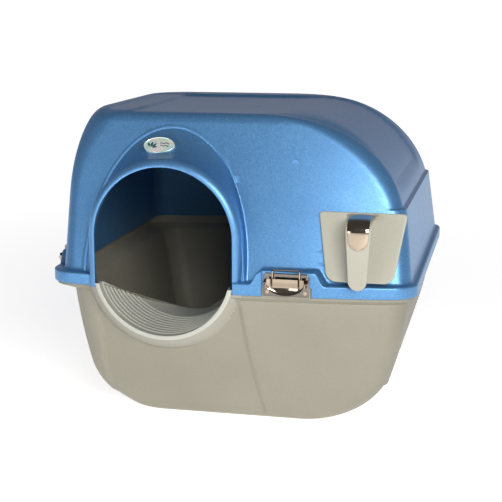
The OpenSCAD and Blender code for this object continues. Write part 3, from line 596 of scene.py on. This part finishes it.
# shallow panel: two steps down in from the left, a rail along the back, open at the front
along = np.roll(outer, -1, axis=1) - np.roll(outer, 1, axis=1)
across = np.gradient(outer, axis=0)
out = np.cross(along, across)
out /= np.maximum(1e-9, np.linalg.norm(out, axis=-1, keepdims=True))
x, y, z = outer[..., 0], outer[..., 1], outer[..., 2]
open_front = ease(y, -184, -158) * ease(z, 318, 352)
rail = 1 - ease(y, 121, 127)
STEP_OUTER, STEP_INNER = 1.7, 2.1         # depths of the panel's two steps
GATE_X, GATE_Y, GATE_DEEP = 3.0, -52.0, 1.6               # the moulding's gate mark on the roof
sink = open_front * rail * (STEP_OUTER * ease(x, -203, -199) + STEP_INNER * ease(x, -158.5, -154))
dimple = np.exp(-((x - GATE_X) ** 2 + (y - GATE_Y) ** 2) / 18) * (z > 430)
outer -= out * (sink + GATE_DEEP * dimple)[..., None]

inner_rise = np.concatenate([[RIM_TOP], wall_z[::3], roof_z[:-1:2]])[:, None] + 0 * lift
inner_rise = np.minimum(inner_rise, BODY_H - WALL - 0.01)
inner_rise = np.concatenate([inner_rise, np.full((1, around), BODY_H - WALL)])
inner_wall = hood_rows(inner_rise, WALL, HOOD_PLAN)
inner_skirt = skirt_rows(HOOD_PLAN, [RIM_TOP - 1, SKIRT_Z + 0.6, SKIRT_Z],
                         np.array([[WALL], [WALL], [WALL - 0.6]]))
inner_top = TOP - [0, 0, WALL + 3]
hood_shell = np.concatenate([shrunk(inner_wall[-1], 10, inner_top, True), inner_wall[::-1], inner_skirt,
                             outer_skirt, ledge, outer_wall[:5], outer])
hood = skin("hood_cover", hood_shell, inner_top, outer[-1].mean(axis=0))


def wall_y(x, z):
    """Y of the hood's front face at a point: a leaning plane, bowed as the square of x."""
    bow = BOW + (8 - BOW) * (z - LEDGE_Z) / (BODY_H - LEDGE_Z)
    return -(FACE_FOOT - (z - LEDGE_Z) * math.tan(LEAN)) * (1 - bow / FACE_FOOT * (x / HALF_W) ** 2)


def half_round(x, z, a, b, foot, count):
    """An upside-down U in X and Z: legs down to foot and a half ellipse a by b over them."""
    angle = np.linspace(0, math.pi, count)
    arc = np.stack([x - a * np.cos(angle), z + b * np.sin(angle)], axis=-1)
    legs = np.linspace(foot, z, 9)[:-1]
    left = np.stack([0 * legs + x - a, legs], axis=-1)
    right = np.stack([0 * legs + x + a, legs[::-1]], axis=-1)
    return np.concatenate([left, arc, right])


# entry arch: a bead on the wall, a crease, a hollow sweep forward, then a rolled lip
ARCH_FOOT = SKIRT_Z + 0.2
far = half_round(ARCH_X, ARCH_Z, ARCH_A, ARCH_B, ARCH_FOOT, 120)
lip_out = half_round(ENTRY_X, ENTRY_HIGH, ENTRY_R + LIP_ROLL, ENTRY_R + LIP_ROLL, ARCH_FOOT, 120)
lip_in = half_round(ENTRY_X, ENTRY_HIGH, ENTRY_R, ENTRY_R, ARCH_FOOT, 120)
flow = np.gradient(far, axis=0)
flow /= np.linalg.norm(flow, axis=-1, keepdims=True)
aside = np.stack([-flow[:, 1], flow[:, 0]], axis=-1)      # away from the entry, in the wall


def arch_face(start, lip, sweep, y_lip, sag):
    """The sweep from start to lip: X and Z go as the sine and Y as minus the cosine, both
    brought to run from 0 to 1."""
    first = sweep.min()
    s = ((np.sin(sweep) - math.sin(first)) / (1 - math.sin(first)))[:, None, None]
    c = ((math.cos(first) - np.cos(sweep)) / math.cos(first))[:, None]
    xz = start + (lip - start) * s
    y0 = wall_y(start[:, 0], start[:, 1]) + sag
    return np.concatenate([xz[..., :1], (y0 + (y_lip - y0) * c)[..., None], xz[..., 1:]], axis=-1)


sweep = np.radians(np.linspace(42, 90, 26))
bead_out = np.array([4.2, 3.2, 2.2, 1.2, 0.3, -0.5])
bead_strong = np.array([1.2, 0.0, -0.7, -0.8, -0.25, 0.7])[:, None]
bead_faint = np.array([0.6, 0.05, -0.12, -0.12, 0.0, 0.15])[:, None]
to_right = ease(far[:, 0] - ARCH_X, 40, 105)
bead_xz = far[None] + aside[None] * bead_out[:, None, None]
bead_y = wall_y(bead_xz[..., 0], bead_xz[..., 1]) + bead_faint + (bead_strong - bead_faint) * to_right
bead = np.concatenate([bead_xz[..., :1], bead_y[..., None], bead_xz[..., 1:]], axis=-1)
face_rows = arch_face(far - aside * 1.2, lip_out, sweep, LIP_Y + LIP_ROLL, 0.3 + 1.2 * to_right)
turn = np.radians(np.linspace(7, 90, 12))
edge_xz = lip_in + (lip_out - lip_in) * np.cos(turn)[:, None, None]
edge_y = (LIP_Y + LIP_ROLL * (1 - np.sin(turn)))[:, None] + 0 * lip_in[:, 0]
edge_rows = np.concatenate([edge_xz[..., :1], edge_y[..., None], edge_xz[..., 1:]], axis=-1)
back_rows = arch_face(far + aside * 1.0, lip_in, sweep[::-2], LIP_Y + 1.0, WALL + 1.2)
loop = np.concatenate([bead, face_rows, edge_rows, back_rows])[:, ::-1]
arch_rows = loop.transpose(1, 0, 2)
arch = skin("entry_arch", arch_rows)

# what is cut from the shell: the arch's opening, its gateway through the ledge and skirt,
# the tray's hole, and a notch with room behind it for each latch
opening_line = half_round(ARCH_X, ARCH_Z, ARCH_A + 1.5, ARCH_B + 1.5, LEDGE_Z + 0.4, 120)[::-1]
opening = prism("opening", opening_line, -HALF_D - 20, -ROUND_Y + 60)


def gate(name, beside, front):
    """A block that clears the ledge and skirt over the entry and beside it on both sides."""
    reach = ENTRY_R + beside
    return block(name, (ENTRY_X - reach, front, SKIRT_Z - 10), (ENTRY_X + reach, -HALF_D + 70, LEDGE_Z + 7))


gateway_back = gate("gateway_back", 14, -251)
gateway = gate("gateway", 1.5, -HALF_D - 20)
GROW = 4.0                                # how much the tray's hole is wider than the tray
hole_foot, hole_top = TRAY_FOOT / 2 + GROW, TRAY_W / 2 + GROW
hole_low, hole_high = TRAY_Z - GROW, TRAY_Z + TRAY_H + GROW
tray_hole = prism("tray_hole", [(TRAY_X - hole_foot, hole_low), (TRAY_X + hole_foot, hole_low),
                                (TRAY_X + hole_top, hole_high), (TRAY_X - hole_top, hole_high)],
                  -HALF_D - 5, -HALF_D + 110)
NOTCH_HALF = 34.0
notch_ends = {"_notch": (-2, 1.3, SKIRT_H + BUMP_H + 5), "_room": (-2.1, RIM_IN + 4, SKIRT_H - 3.5)}
notches = []
for kind, (near, deep, top) in notch_ends.items():
    for spot in SPOTS:
        notch = block(spot + kind, (-NOTCH_HALF, near, -5), (NOTCH_HALF, deep, top))
        notches.append(to_latch(notch, spot))

# screw bosses inside the front and back, two for the tray's channel and two for the screen
SCREW_X, SCREW_LEVELS, CHANNEL_END = 130.0, (TRAY_Z + 8, TRAY_Z + 24), 218.0
SCREEN_X, SCREEN_Z, SCREEN_END = -9.0, 270.0, 146.0
SCREW_REACH, SCREW_TILTS = 137.0, (12, 45)                # where the screen's screws sit on its arc
BOSS_R = 6.0
bosses = []
for turn_to_back in (1, -1):
    for level in SCREW_LEVELS:
        bosses.append((SCREW_X, level, turn_to_back, CHANNEL_END))
    for tilt in SCREW_TILTS:
        bosses.append((SCREEN_X + SCREW_REACH * math.cos(math.radians(tilt)),
                       SCREEN_Z + SCREW_REACH * math.sin(math.radians(tilt)), turn_to_back, SCREEN_END))
rods = []
for number, (bx, bz, side, end) in enumerate(bosses):
    root = float(-wall_y(np.array(bx), np.array(bz))) - 1.0
    near, deep = sorted((-side * root, -side * end))
    rods.append(turned("boss_%d" % number, [(0.01, near), (0.01, deep), (BOSS_R, deep), (BOSS_R, near)],
                       0, 360, 24, bx, bz))
carve(hood, notches + [tray_hole], [], 30)
carve(hood, [opening, gateway, gateway_back], [], 30)
carve(hood, [], [arch] + rods, 30)

pearl = Look("pearl blue", IOR=1.5, Metallic=0.6, Coat_Weight=0.10, Coat_Roughness=0.28)
flake = pearl.ramp(pearl.cells(1100), [(0.0, (0.088, 0.245, 0.480)), (0.55, (0.104, 0.280, 0.530)),
                                       (1.0, (0.140, 0.330, 0.590))])
cloud = pearl.ramp(pearl.noise(14, 4), [(0.3, (0.90, 0.93, 0.96)), (0.7, (1.0, 1.0, 1.0))])
shimmer = pearl.ramp(pearl.noise(420, 3), [(0.3, (0.94, 0.955, 0.97)), (0.7, (1.0, 1.0, 1.0))])
pearl.set("Base Color", pearl.mix(1.0, pearl.mix(1.0, flake, cloud, "MULTIPLY"), shimmer, "MULTIPLY"))
pearl.set("Roughness", pearl.ramp(pearl.noise(320, 3), [(0.3, 0.34), (0.7, 0.46)]))
pearl.bump(pearl.noise(650, 2), 0.10, 0.35)
pearl.bump(pearl.noise(22, 3), 0.30, 0.15)
hood.data.materials.clear()
hood.data.materials.append(pearl.material)
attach(hood, "box")
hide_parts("hood")

# ---------- Entry step ----------
# A half-round cream moulding that lines the lower half of the entry. Fine ribs run across
# it to catch litter from paws, and a thin flange holds it on the pan's collar.

STEP_R, STEP_D, RIB_PITCH, RIBS = ENTRY_R - 0.3, 156.0, 11.0, 9
step_y = np.concatenate([LIP_Y - 1.6 + np.linspace(0, 2, 5), np.linspace(LIP_Y + 1, LIP_Y + 104, 208),
                         np.linspace(LIP_Y + 106, LIP_Y + STEP_D, 20)])
wave = (step_y - LIP_Y) / RIB_PITCH
rib_no = np.round(wave)
from_rib = (step_y - LIP_Y - rib_no * RIB_PITCH - 1.2) / 2.0
rib = np.exp(-from_rib ** 4) * (rib_no >= 1) * (rib_no <= RIBS)
inner_r = STEP_R - 2.6 - 1.5 * rib
rim_r = STEP_R + np.array([-1.9, 0.2, 2.2, 3.4, 3.8, 3.2, 0, 0, 0, 0, 0])
rim_y = LIP_Y + np.array([-2.0, -2.1, -1.7, -0.9, -0.2, 0.1, -0.4, 14, 60, 110, STEP_D])
section_r = np.concatenate([inner_r, rim_r[::-1]])
section_y = np.concatenate([step_y, rim_y[::-1]])
# its top edge runs level behind the lip, then falls evenly towards the back
section_top = np.interp(section_y, [LIP_Y + 14, LIP_Y + STEP_D], [SKIRT_Z + 6, ENTRY_LOW - STEP_R + 6])
half_turn = np.arccos(np.clip((ENTRY_LOW - section_top) / section_r, -1, 1))
share = np.linspace(-1, 1, 121)[:, None]
angle = share * half_turn
step_rows = np.stack(np.broadcast_arrays(ENTRY_X + section_r * np.sin(angle), section_y,
                                         ENTRY_LOW - section_r * np.cos(angle)), axis=-1)
step = skin("entry_step_liner", step_rows)
smooth(step, 40)
step_finish = moulded("pale step moulding", (0.50, 0.50, 0.44), (0.45, 0.45, 0.395), 0.48, 0.8)
step.data.materials.append(step_finish)
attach(step, "box")
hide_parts("entry_step")

# ---------- Badge ----------
# An oval of printed foil under a clear dome in a bright rim, stuck on the arch. The print
# is a plain leaf spray of no particular maker.

BADGE_AT = np.array([ENTRY_X - 16, LIP_Y + 47, ENTRY_HIGH + ENTRY_R + 23.5])
BADGE_TILT = math.radians(-42)
BADGE_A, BADGE_B, FOIL_Y, BADGE_DEEP = 22.0, 13.0, -2.3, 8.4


def on_badge(x, y, z):
    """From the badge's own axes to the hood: a turn about X, then a shift."""
    c, s = math.cos(BADGE_TILT), math.sin(BADGE_TILT)
    return BADGE_AT + np.stack(np.broadcast_arrays(x, y * c - z * s, y * s + z * c), axis=-1)


badge_share = np.array([0.02, 0.2, 0.4, 0.6, 0.8, 0.89, 0.905, 0.92, 0.95, 0.98, 1.0, 1.0, 0.99])
badge_high = np.array([FOIL_Y, -2.28, -2.2, -2.05, -1.85, -1.7, -1.72, -2.05, -2.4, -2.3, -1.8, 8.0,
                       BADGE_DEEP])
badge_turn = np.linspace(0, 2 * math.pi, 96, endpoint=False)
ox = BADGE_A * badge_share[:, None] * np.cos(badge_turn)
oz = BADGE_B * badge_share[:, None] * np.sin(badge_turn)
badge_rows = on_badge(ox, badge_high[:, None] + 0 * ox, oz)
badge = skin("badge_plate", badge_rows, on_badge(0.0, FOIL_Y, 0.0), on_badge(0.0, BADGE_DEEP, 0.0))
smooth(badge, 50)
foil = Look("foil under dome", Metallic=0.35, IOR=1.5, Coat_Weight=0.8, Coat_Roughness=0.05)
tint = foil.ramp(foil.noise(55, 2, (1.0, 0.4, 2.2)),
                 [(0.30, (0.72, 0.67, 0.80)), (0.45, (0.56, 0.80, 0.75)), (0.58, (0.80, 0.84, 0.72)),
                  (0.70, (0.85, 0.74, 0.78))])
foil.set("Base Color", tint)
foil.set("Roughness", foil.ramp(foil.noise(900, 2), [(0.3, 0.18), (0.7, 0.30)]))
badge.data.materials.append(foil.material)
ink = moulded("badge ink", (0.02, 0.10, 0.09), (0.01, 0.06, 0.07), 0.4, 0.3)
leaves = []
LEAF_SET = [(-11, -4, 78, 9.0), (-9.5, -3.5, 42, 8.4), (-9, -4.5, 10, 7.6), (-12.5, -3.5, 118, 7.6)]
leaf_t = np.linspace(0, 1, 15)
loops = np.radians(np.linspace(0, 360, 10, endpoint=False))
for number, (lx, lz, tilt, long) in enumerate(LEAF_SET):
    c, s = math.cos(math.radians(tilt)), math.sin(math.radians(tilt))
    wide = 1.5 * np.sin(math.pi * leaf_t) ** 0.8 + 0.02
    px = lx + c * long * leaf_t[:, None] - s * wide[:, None] * np.cos(loops)
    pz = lz + s * long * leaf_t[:, None] + c * wide[:, None] * np.cos(loops)
    leaf_rows = on_badge(px, -2.28 - 0.12 * np.sin(loops) + 0 * px, pz)
    leaves.append(skin("badge_leaf_%d" % number, leaf_rows))
bar_t = np.linspace(0, 1, 40)
for number, (z0, x0, x1) in enumerate([(2.6, 1, 14.5), (-1.6, 2, 14)]):
    line_x = x0 + (x1 - x0) * bar_t
    px = line_x[:, None] + 0 * loops
    pz = z0 + 0.7 * np.sin(bar_t * 12)[:, None] + 0.75 * np.cos(loops)
    bar_rows = on_badge(px, -2.22 - 0.12 * np.sin(loops) + 0 * px, pz)
    leaves.append(skin("badge_wave_%d" % number, bar_rows))
for leaf in leaves:
    smooth(leaf, 60)
    leaf.data.materials.append(ink)
    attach(leaf, "box")
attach(badge, "box")
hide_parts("badge")

# ---------- Latches ----------
# Four bright-plated draw latches, one in front, one behind and two on the left. Each is a
# pressed plate riveted to the pan, a scooped thumb lever on stub pins, and a wire loop
# that rides on the lever and hooks over the hood's keeper.

LATCH_W, LATCH_H, LEVER_W = 62.0, 32.0, 54.0
PIN_Y, PIN_Z, PIVOT_Y, PIVOT_Z = -6.5, 21.0, -3.0, 15.0
WIRE_R, LOOP_HALF, LOOP_Z, LOOP_Y = 1.2, 18.5, 36.8, 4.0


def plated(name, tone, rough):
    """Bright plating: a mirror with faint polishing lines, soft smears and tiny pits."""
    look = Look(name, Metallic=1.0)
    worn = tuple(0.93 * c for c in tone)
    look.set("Base Color", look.ramp(look.noise(60, 4), [(0.3, worn), (0.7, tone)]))
    smear = look.ramp(look.noise(130, 4), [(0.3, rough), (0.75, rough + 0.10)])
    look.set("Roughness", smear)
    look.bump(look.noise(900, 2, (1, 1, 0.15)), 0.02, 0.25)
    return look.material


# painted reflection: both plating tones are darkened, the first a warm brown and the second near black,
# standing for a dark brownish studio mirrored in the bright metal rather than the metal's own colour
painted_reflection_plating = plated("plating toned brown as painted reflection", (0.42, 0.34, 0.26), 0.07)
dark_painted_reflection_plating = plated("plating darkened as painted reflection", (0.20, 0.18, 0.16), 0.12)


def rounded_bar(name, centres, sides, ups, half_wide, half_thick, count=28, square=4.0):
    """A bar along a path with a rounded-box section: at angle a the section stands at
    side * half_wide * c and up * half_thick * s, where c and s are the cosine and sine of a
    raised to 2 / square with their signs kept. Wide and thick may change along the path."""
    a = np.linspace(0, 2 * math.pi, count, endpoint=False)
    c = np.sign(np.cos(a)) * np.abs(np.cos(a)) ** (2 / square)
    s = np.sign(np.sin(a)) * np.abs(np.sin(a)) ** (2 / square)
    wide = np.asarray(half_wide)[:, None, None] * sides[:, None] * c[None, :, None]
    thick = np.asarray(half_thick)[:, None, None] * ups[:, None] * s[None, :, None]
    rows = centres[:, None] + wide + thick
    return skin(name, rows)


def side_tab(name, x_rows, outline, mid, shy):
    """A small pressed tab: an outline in Y and Z set at four places along X, drawn towards
    mid by the shares in shy, which round its edges."""
    yz = mid + (outline - mid) * np.array(shy)[:, None, None]
    return skin(name, np.concatenate([x_rows[:, None, None] + 0 * yz[..., :1], yz], axis=-1))


def latch_plate(spot):
    """Pressed plate: an outline with clipped top corners, its edge rolled over, and two
    ears that carry the pins."""
    w, h, clip = LATCH_W / 2, LATCH_H, 3.2
    outline = np.array([(-w, 1.6), (-w + 0.6, 1.0), (w - 0.6, 1.0), (w, 1.6), (w, h + 1 - clip),
                        (w - clip, h + 1), (-w + clip, h + 1), (-w, h + 1 - clip)])
    centre = np.array([0, h / 2 + 1])
    away = outline - centre
    inset = np.array([0.02, 0.45, 0.9, 0.955, 0.978, 0.992, 1.0, 1.0])
    depth = np.array([-0.25, -0.25, -0.25, -0.22, -0.12, 0.06, 0.3, 1.15])
    xz = centre + away * inset[:, None, None]
    rows = np.concatenate([xz[..., :1], depth[:, None, None] + 0 * xz[..., :1], xz[..., 1:]], axis=-1)
    plate = skin(spot + "_plate", rows, np.array([0, -0.25, centre[1]]), np.array([0, 1.15, centre[1]]))
    ears = []
    for side in (-1, 1):
        ear_x = side * (LEVER_W / 2 + 1.5)
        a = np.radians(np.linspace(180, 360, 17))
        nose = np.stack([PIN_Y + 3 * np.sin(a), PIN_Z + 3 * np.cos(a)], axis=-1)
        root = np.array([[0.8, PIN_Z + 4.6], [0.8, PIN_Z - 4.6]])
        ears.append(side_tab(spot + "_ear%d" % side, ear_x + np.array([-0.7, -0.55, 0.55, 0.7]),
                             np.concatenate([nose, root]), np.array([-2.5, PIN_Z]), (0.93, 1, 1, 0.93)))
    made = join([plate] + ears)
    smooth(made, 35)
    return to_latch(made, spot)


def join(pieces):
    """Puts several meshes into the first one's object, with outward normals worked out again."""
    bm = bmesh.new()
    for piece in pieces:
        bm.from_mesh(piece.data)
    bmesh.ops.recalc_face_normals(bm, faces=bm.faces)
    bm.to_mesh(pieces[0].data)
    bm.free()
    for piece in pieces[1:]:
        bpy.data.objects.remove(piece)
    return pieces[0]


def latch_lever(spot):
    """Thumb lever: a half-oval scoop whose face is hollow as 1 - r squared and ends in a
    rolled rim, hung from the pins by two cheeks."""
    half, low, deep = LEVER_W / 2 - 1.6, 4.5, 14.5
    grid_u = np.linspace(-1, 1, 41)
    grid_v = np.linspace(0, 1, 15)
    u, v = np.meshgrid(grid_u, grid_v, indexing="ij")
    foot = low + deep - deep * np.sqrt(np.maximum(0, 1 - u ** 2))
    zz = foot + (PIN_Z + 5.5 - foot) * v
    xx = half * u
    reach = np.sqrt(u ** 2 + ((low + deep - zz) / deep).clip(0) ** 2)
    hollow = 3.6 * (1 - np.minimum(1, reach) ** 2) * (1 - 0.75 * ease(zz, 15, 21))
    rim = 0.9 * np.exp(-((1 - reach) / 0.07) ** 2)
    yy = -8.6 + hollow - rim
    front = np.stack([xx, yy, zz], axis=-1)
    back = np.stack([xx * 0.985, yy + 1.1, zz + 0.25 * (1 - v)], axis=-1)
    ring = np.concatenate([front, back[:, ::-1]], axis=1)
    scoop = skin(spot + "_lever", ring)
    slots = [block("slot%d" % side, (side * LOOP_HALF - 1.5, -14, PIVOT_Z - 2.6),
                   (side * LOOP_HALF + 1.5, 0, 40)) for side in (-1, 1)]
    carve(scoop, slots, [], 35)
    cheeks = []
    for side in (-1, 1):
        a = np.radians(np.linspace(0, 360, 24, endpoint=False))
        outline = np.stack([PIN_Y + 1.2 + (3.4 + 0.6 * np.cos(a * 2)) * np.sin(a),
                            18.2 + 5.4 * np.cos(a)], axis=-1)
        x_rows = side * (half + 0.9) + np.array([-0.7, -0.5, 0.5, 0.7])
        cheeks.append(side_tab(spot + "_cheek%d" % side, x_rows, outline, outline.mean(axis=0),
                               (0.9, 1, 1, 0.9)))
    made = join([scoop] + cheeks)
    smooth(made, 35)
    return to_latch(made, spot)


def wire(name, points, radius, count=14):
    """A closed-ended round wire through points, its rings square to the path."""
    points = np.asarray(points, float)
    path = np.gradient(points, axis=0)
    path /= np.linalg.norm(path, axis=-1, keepdims=True)
    first = np.cross(path, [0.31, 0.83, 0.47])
    first /= np.linalg.norm(first, axis=-1, keepdims=True)
    second = np.cross(path, first)
    a = np.linspace(0, 2 * math.pi, count, endpoint=False)
    rows = points[:, None] + radius * (np.cos(a)[None, :, None] * first[:, None]
                                       + np.sin(a)[None, :, None] * second[:, None])
    return skin(name, rows, points[0], points[-1])


def latch_loop(spot):
    """Wire loop: a cross bar on the lever, two legs up, and a hook over the keeper, with
    every corner a small round."""
    def corner(p, q, r, bend):
        """Points round the corner at q between the directions to p and r."""
        p, q, r = (np.array(k, float) for k in (p, q, r))
        a = q + (p - q) / np.linalg.norm(p - q) * bend
        b = q + (r - q) / np.linalg.norm(r - q) * bend
        t = np.linspace(0, 1, 7)[:, None]
        return (1 - t) ** 2 * a + 2 * t * (1 - t) * q + t ** 2 * b
    stops = [(0, PIVOT_Y, PIVOT_Z), (LOOP_HALF, PIVOT_Y, PIVOT_Z), (LOOP_HALF, PIVOT_Y, LOOP_Z),
             (LOOP_HALF, LOOP_Y, LOOP_Z), (-LOOP_HALF, LOOP_Y, LOOP_Z), (-LOOP_HALF, PIVOT_Y, LOOP_Z),
             (-LOOP_HALF, PIVOT_Y, PIVOT_Z), (-0.01, PIVOT_Y, PIVOT_Z)]
    track = [np.array([stops[0]])]
    for before, at, after in zip(stops, stops[1:], stops[2:]):
        track.append(corner(before, at, after, 1.8))
    track.append(np.array([stops[-1]]))
    made = join([wire(spot + "_loop", np.concatenate(track), WIRE_R)])
    smooth(made, 60)
    return to_latch(made, spot)


for spot in SPOTS:
    plate = latch_plate(spot)
    plate.name = spot + "_keep_plate"
    lever = latch_lever(spot)
    lever.name = spot + "_thumb_lever"
    hoop = latch_loop(spot)
    hoop.name = spot + "_wire_loop"
    for piece, body, node in ((plate, "box", spot + "_latch_plate"),
                              (lever, spot + "_lever", spot + "_latch_lever"),
                              (hoop, spot + "_loop", spot + "_latch_loop")):
        piece.data.materials.clear()
        piece.data.materials.append(dark_painted_reflection_plating if piece == plate else painted_reflection_plating)
        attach(piece, body)
        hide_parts(node)

# ---------- Waste tray front ----------
# The tray's cream front plate with its strap handle in one moulding. The handle comes
# level out of the plate, turns down in front of it and ends round; a bright cap covers
# its bend and upper half, inside a cream rim.

PLATE_W, PLATE_FOOT_W, PLATE_H, PLATE_T, PLATE_Z = 118.0, 94.0, 90.0, 2.6, 217.0
PLATE_BACK = float(wall_y(np.array(TRAY_X - PLATE_W / 2), np.array(LEDGE_Z))) - 4
HANDLE_W, HANDLE_FOOT_W, HANDLE_Z, HANDLE_Y = 34.0, 25.0, 301.0, 275.0
HANDLE_BEND, HANDLE_END, HANDLE_T = 13.0, 212.0, 3.2
TAPER_Z = 299.0                           # height at which the handle starts to taper
CORNER_FOOT, CORNER_TOP = 16.0, 5.0       # radii of the plate's corners


def plate_y(z):
    """Y of the plate's back face at a height."""
    return PLATE_BACK + (z - LEDGE_Z) * math.tan(LEAN)


def on_plate(x, out_by, up):
    """From the plate's own axes, out_by in front of its back face and up along it."""
    y = plate_y(PLATE_Z) - out_by * math.cos(LEAN) + up * math.sin(LEAN)
    z = PLATE_Z + out_by * math.sin(LEAN) + up * math.cos(LEAN)
    return np.stack(np.broadcast_arrays(TRAY_X + x, y, z), axis=-1)


def corner_arc(x, up, r, start, stop, count):
    """Points on an arc in the plate's plane, angles in degrees from +X towards up."""
    a = np.radians(np.linspace(start, stop, count))
    return np.stack([x + r * np.cos(a), up + r * np.sin(a)], axis=-1)


plate_up = PLATE_H / math.cos(LEAN)
side_tilt = math.degrees(math.atan2((PLATE_W - PLATE_FOOT_W) / 2 - 1, plate_up - 21))
foot_x, top_x, top_up = PLATE_FOOT_W / 2 - CORNER_FOOT, PLATE_W / 2 - CORNER_TOP, plate_up - CORNER_TOP
arcs = [corner_arc(foot_x, CORNER_FOOT, CORNER_FOOT, -90, -side_tilt, 14),
        corner_arc(top_x, top_up, CORNER_TOP, -side_tilt, 90, 9),
        corner_arc(-top_x, top_up, CORNER_TOP, 90, 180 + side_tilt, 9),
        corner_arc(-foot_x, CORNER_FOOT, CORNER_FOOT, 180 + side_tilt, 270, 14)]
rim_pts = np.concatenate(arcs)
closed = np.concatenate([rim_pts, rim_pts[:1]])
length = np.concatenate([[0], np.cumsum(np.linalg.norm(np.diff(closed, axis=0), axis=-1))])
even = np.sort(np.concatenate([length[:-1], np.linspace(0, length[-1], 90, endpoint=False)]))
rim_pts = np.stack([np.interp(even, length, closed[:, 0]), np.interp(even, length, closed[:, 1])], axis=-1)
heart = np.array([0, plate_up * 0.55])
inset = np.concatenate([np.linspace(0.04, 0.96, 26), [0.975, 0.986, 0.994, 1.0, 1.0, 0.994, 0.98, 0.5]])
front_out = np.concatenate([np.full(26, PLATE_T), PLATE_T - np.array([0.03, 0.15, 0.45, 0.9]),
                            [0.8, 0.25, 0.0, 0.0]])
plate_xy = heart + (rim_pts - heart) * inset[:, None, None]
px, pu = plate_xy[..., 0], plate_xy[..., 1]
root_up = (HANDLE_Z - PLATE_Z) / math.cos(LEAN) + 1.5
dish = 1.4 * np.exp(-((np.abs(px) - 17) / 6) ** 2 - ((pu - root_up) / 4.5) ** 2) * (inset < 0.97)[:, None]
rows = on_plate(px, front_out[:, None] - dish, pu)
tray_plate = skin("tray_plate", rows, on_plate(0.0, PLATE_T, heart[1]), on_plate(0.0, 0.0, heart[1]))

# the handle's line, seen from the side: level, round the bend, then straight down
MID = HANDLE_T / 2


def handle_line(rise, start_y, end_z, level_count, drop_count):
    """Centres and outward directions along the handle, rise above its inner face."""
    level_y = np.linspace(start_y, -HANDLE_Y + HANDLE_BEND, level_count, endpoint=False)
    level = np.stack([level_y, 0 * level_y + HANDLE_Z + rise], axis=-1)
    a = np.radians(np.linspace(0, 90, 20))
    bend = np.stack([-HANDLE_Y + HANDLE_BEND - (HANDLE_BEND + rise) * np.sin(a),
                     HANDLE_Z - HANDLE_BEND + (HANDLE_BEND + rise) * np.cos(a)], axis=-1)
    drop_z = np.linspace(HANDLE_Z - HANDLE_BEND, end_z, drop_count + 1)[1:]
    drop = np.stack([0 * drop_z - HANDLE_Y - rise, drop_z], axis=-1)
    centres = np.concatenate([level, bend, drop])
    out_a = np.concatenate([0 * level_y, a, 0 * drop_z + math.pi / 2])
    out_yz = np.stack([-np.sin(out_a), np.cos(out_a)], axis=-1)
    zero = np.zeros((len(centres), 1))
    return (np.concatenate([zero + TRAY_X, centres], axis=-1), np.concatenate([zero, out_yz], axis=-1),
            np.tile([1.0, 0, 0], (len(centres), 1)))


def handle_half(z):
    """Half width of the handle: it tapers evenly down to its round end."""
    share = np.clip((TAPER_Z - z) / (TAPER_Z - HANDLE_END - HANDLE_FOOT_W / 2), 0, 1)
    return HANDLE_W / 2 + (HANDLE_FOOT_W - HANDLE_W) / 2 * share


centres, ups, sides = handle_line(MID, plate_y(HANDLE_Z) - 1.6, HANDLE_END, 22, 60)
end_r = HANDLE_FOOT_W / 2
near_end = np.clip((HANDLE_END + end_r - centres[:, 2]) / end_r, 0, 0.998)
half = handle_half(centres[:, 2]) * np.sqrt(1 - near_end ** 2)
from_root = -(centres[:, 1] - centres[0, 1])
level_part = centres[:, 2] > 290          # where it flares into the plate
half = half + 5.5 * np.exp(-from_root / 4.2) * level_part
thick = MID + 1.2 * np.exp(-from_root / 3.5) * level_part
handle = rounded_bar("tray_handle", centres, sides, ups, half, thick, 40, 5.0)
tray_front = join([tray_plate, handle])
tray_front.name = "tray_front_moulding"
smooth(tray_front, 40)
cream = moulded("cream moulding", (0.405, 0.395, 0.325), (0.375, 0.365, 0.298), 0.38, 0.6)
tray_front.data.materials.append(cream)
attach(tray_front, "waste_tray")
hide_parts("tray_front")

CAP_T, CAP_END, CAP_RIM = 0.9, 266.0, 2.2     # the last is the cream rim left beside the cap
cap_centres, cap_ups, cap_sides = handle_line(HANDLE_T + CAP_T / 2 - 0.15,
                                              plate_y(HANDLE_Z) - PLATE_T - 4, CAP_END, 14, 26)
cap_r = handle_half(CAP_END) - CAP_RIM
cap_near = np.clip((CAP_END + cap_r - cap_centres[:, 2]) / cap_r, 0, 0.998)
cap_half = (handle_half(cap_centres[:, 2]) - CAP_RIM) * np.sqrt(1 - cap_near ** 2)
cap = rounded_bar("handle_bright_cap", cap_centres, cap_sides, cap_ups, cap_half,
                  np.full(len(cap_half), CAP_T / 2 + 1.1), 48, 2.3)
join([cap])
smooth(cap, 40)
cap.data.materials.append(painted_reflection_plating)
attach(cap, "waste_tray")
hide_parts("handle_cap")

# ---------- Inside pieces ----------
# The sifting screen, the tray and its channel are plain mouldings whose shape is kept as it comes
# from model.glb; screws, pins and rivets are plated steel. Only their finish is set.

channel_finish = moulded("blue moulding", (0.10, 0.24, 0.45), (0.08, 0.20, 0.39), 0.45, 0.8)
screen_finish = moulded("charcoal moulding", (0.020, 0.022, 0.026), (0.012, 0.013, 0.016), 0.50, 1.0)
steel = plated("zinc plating", (0.56, 0.56, 0.57), 0.28)
finishes = {"waste_tray": cream, "tray_channel": channel_finish, "filter_screen": screen_finish,
            "screen_screws": steel, "channel_screws": steel, "tray_screws": steel, "latch_rivets": painted_reflection_plating}
finishes.update({spot + "_latch_pin": painted_reflection_plating for spot in SPOTS})
for node, finish in finishes.items():
    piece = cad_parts[node]
    piece.data.materials.clear()
    piece.data.materials.append(finish)
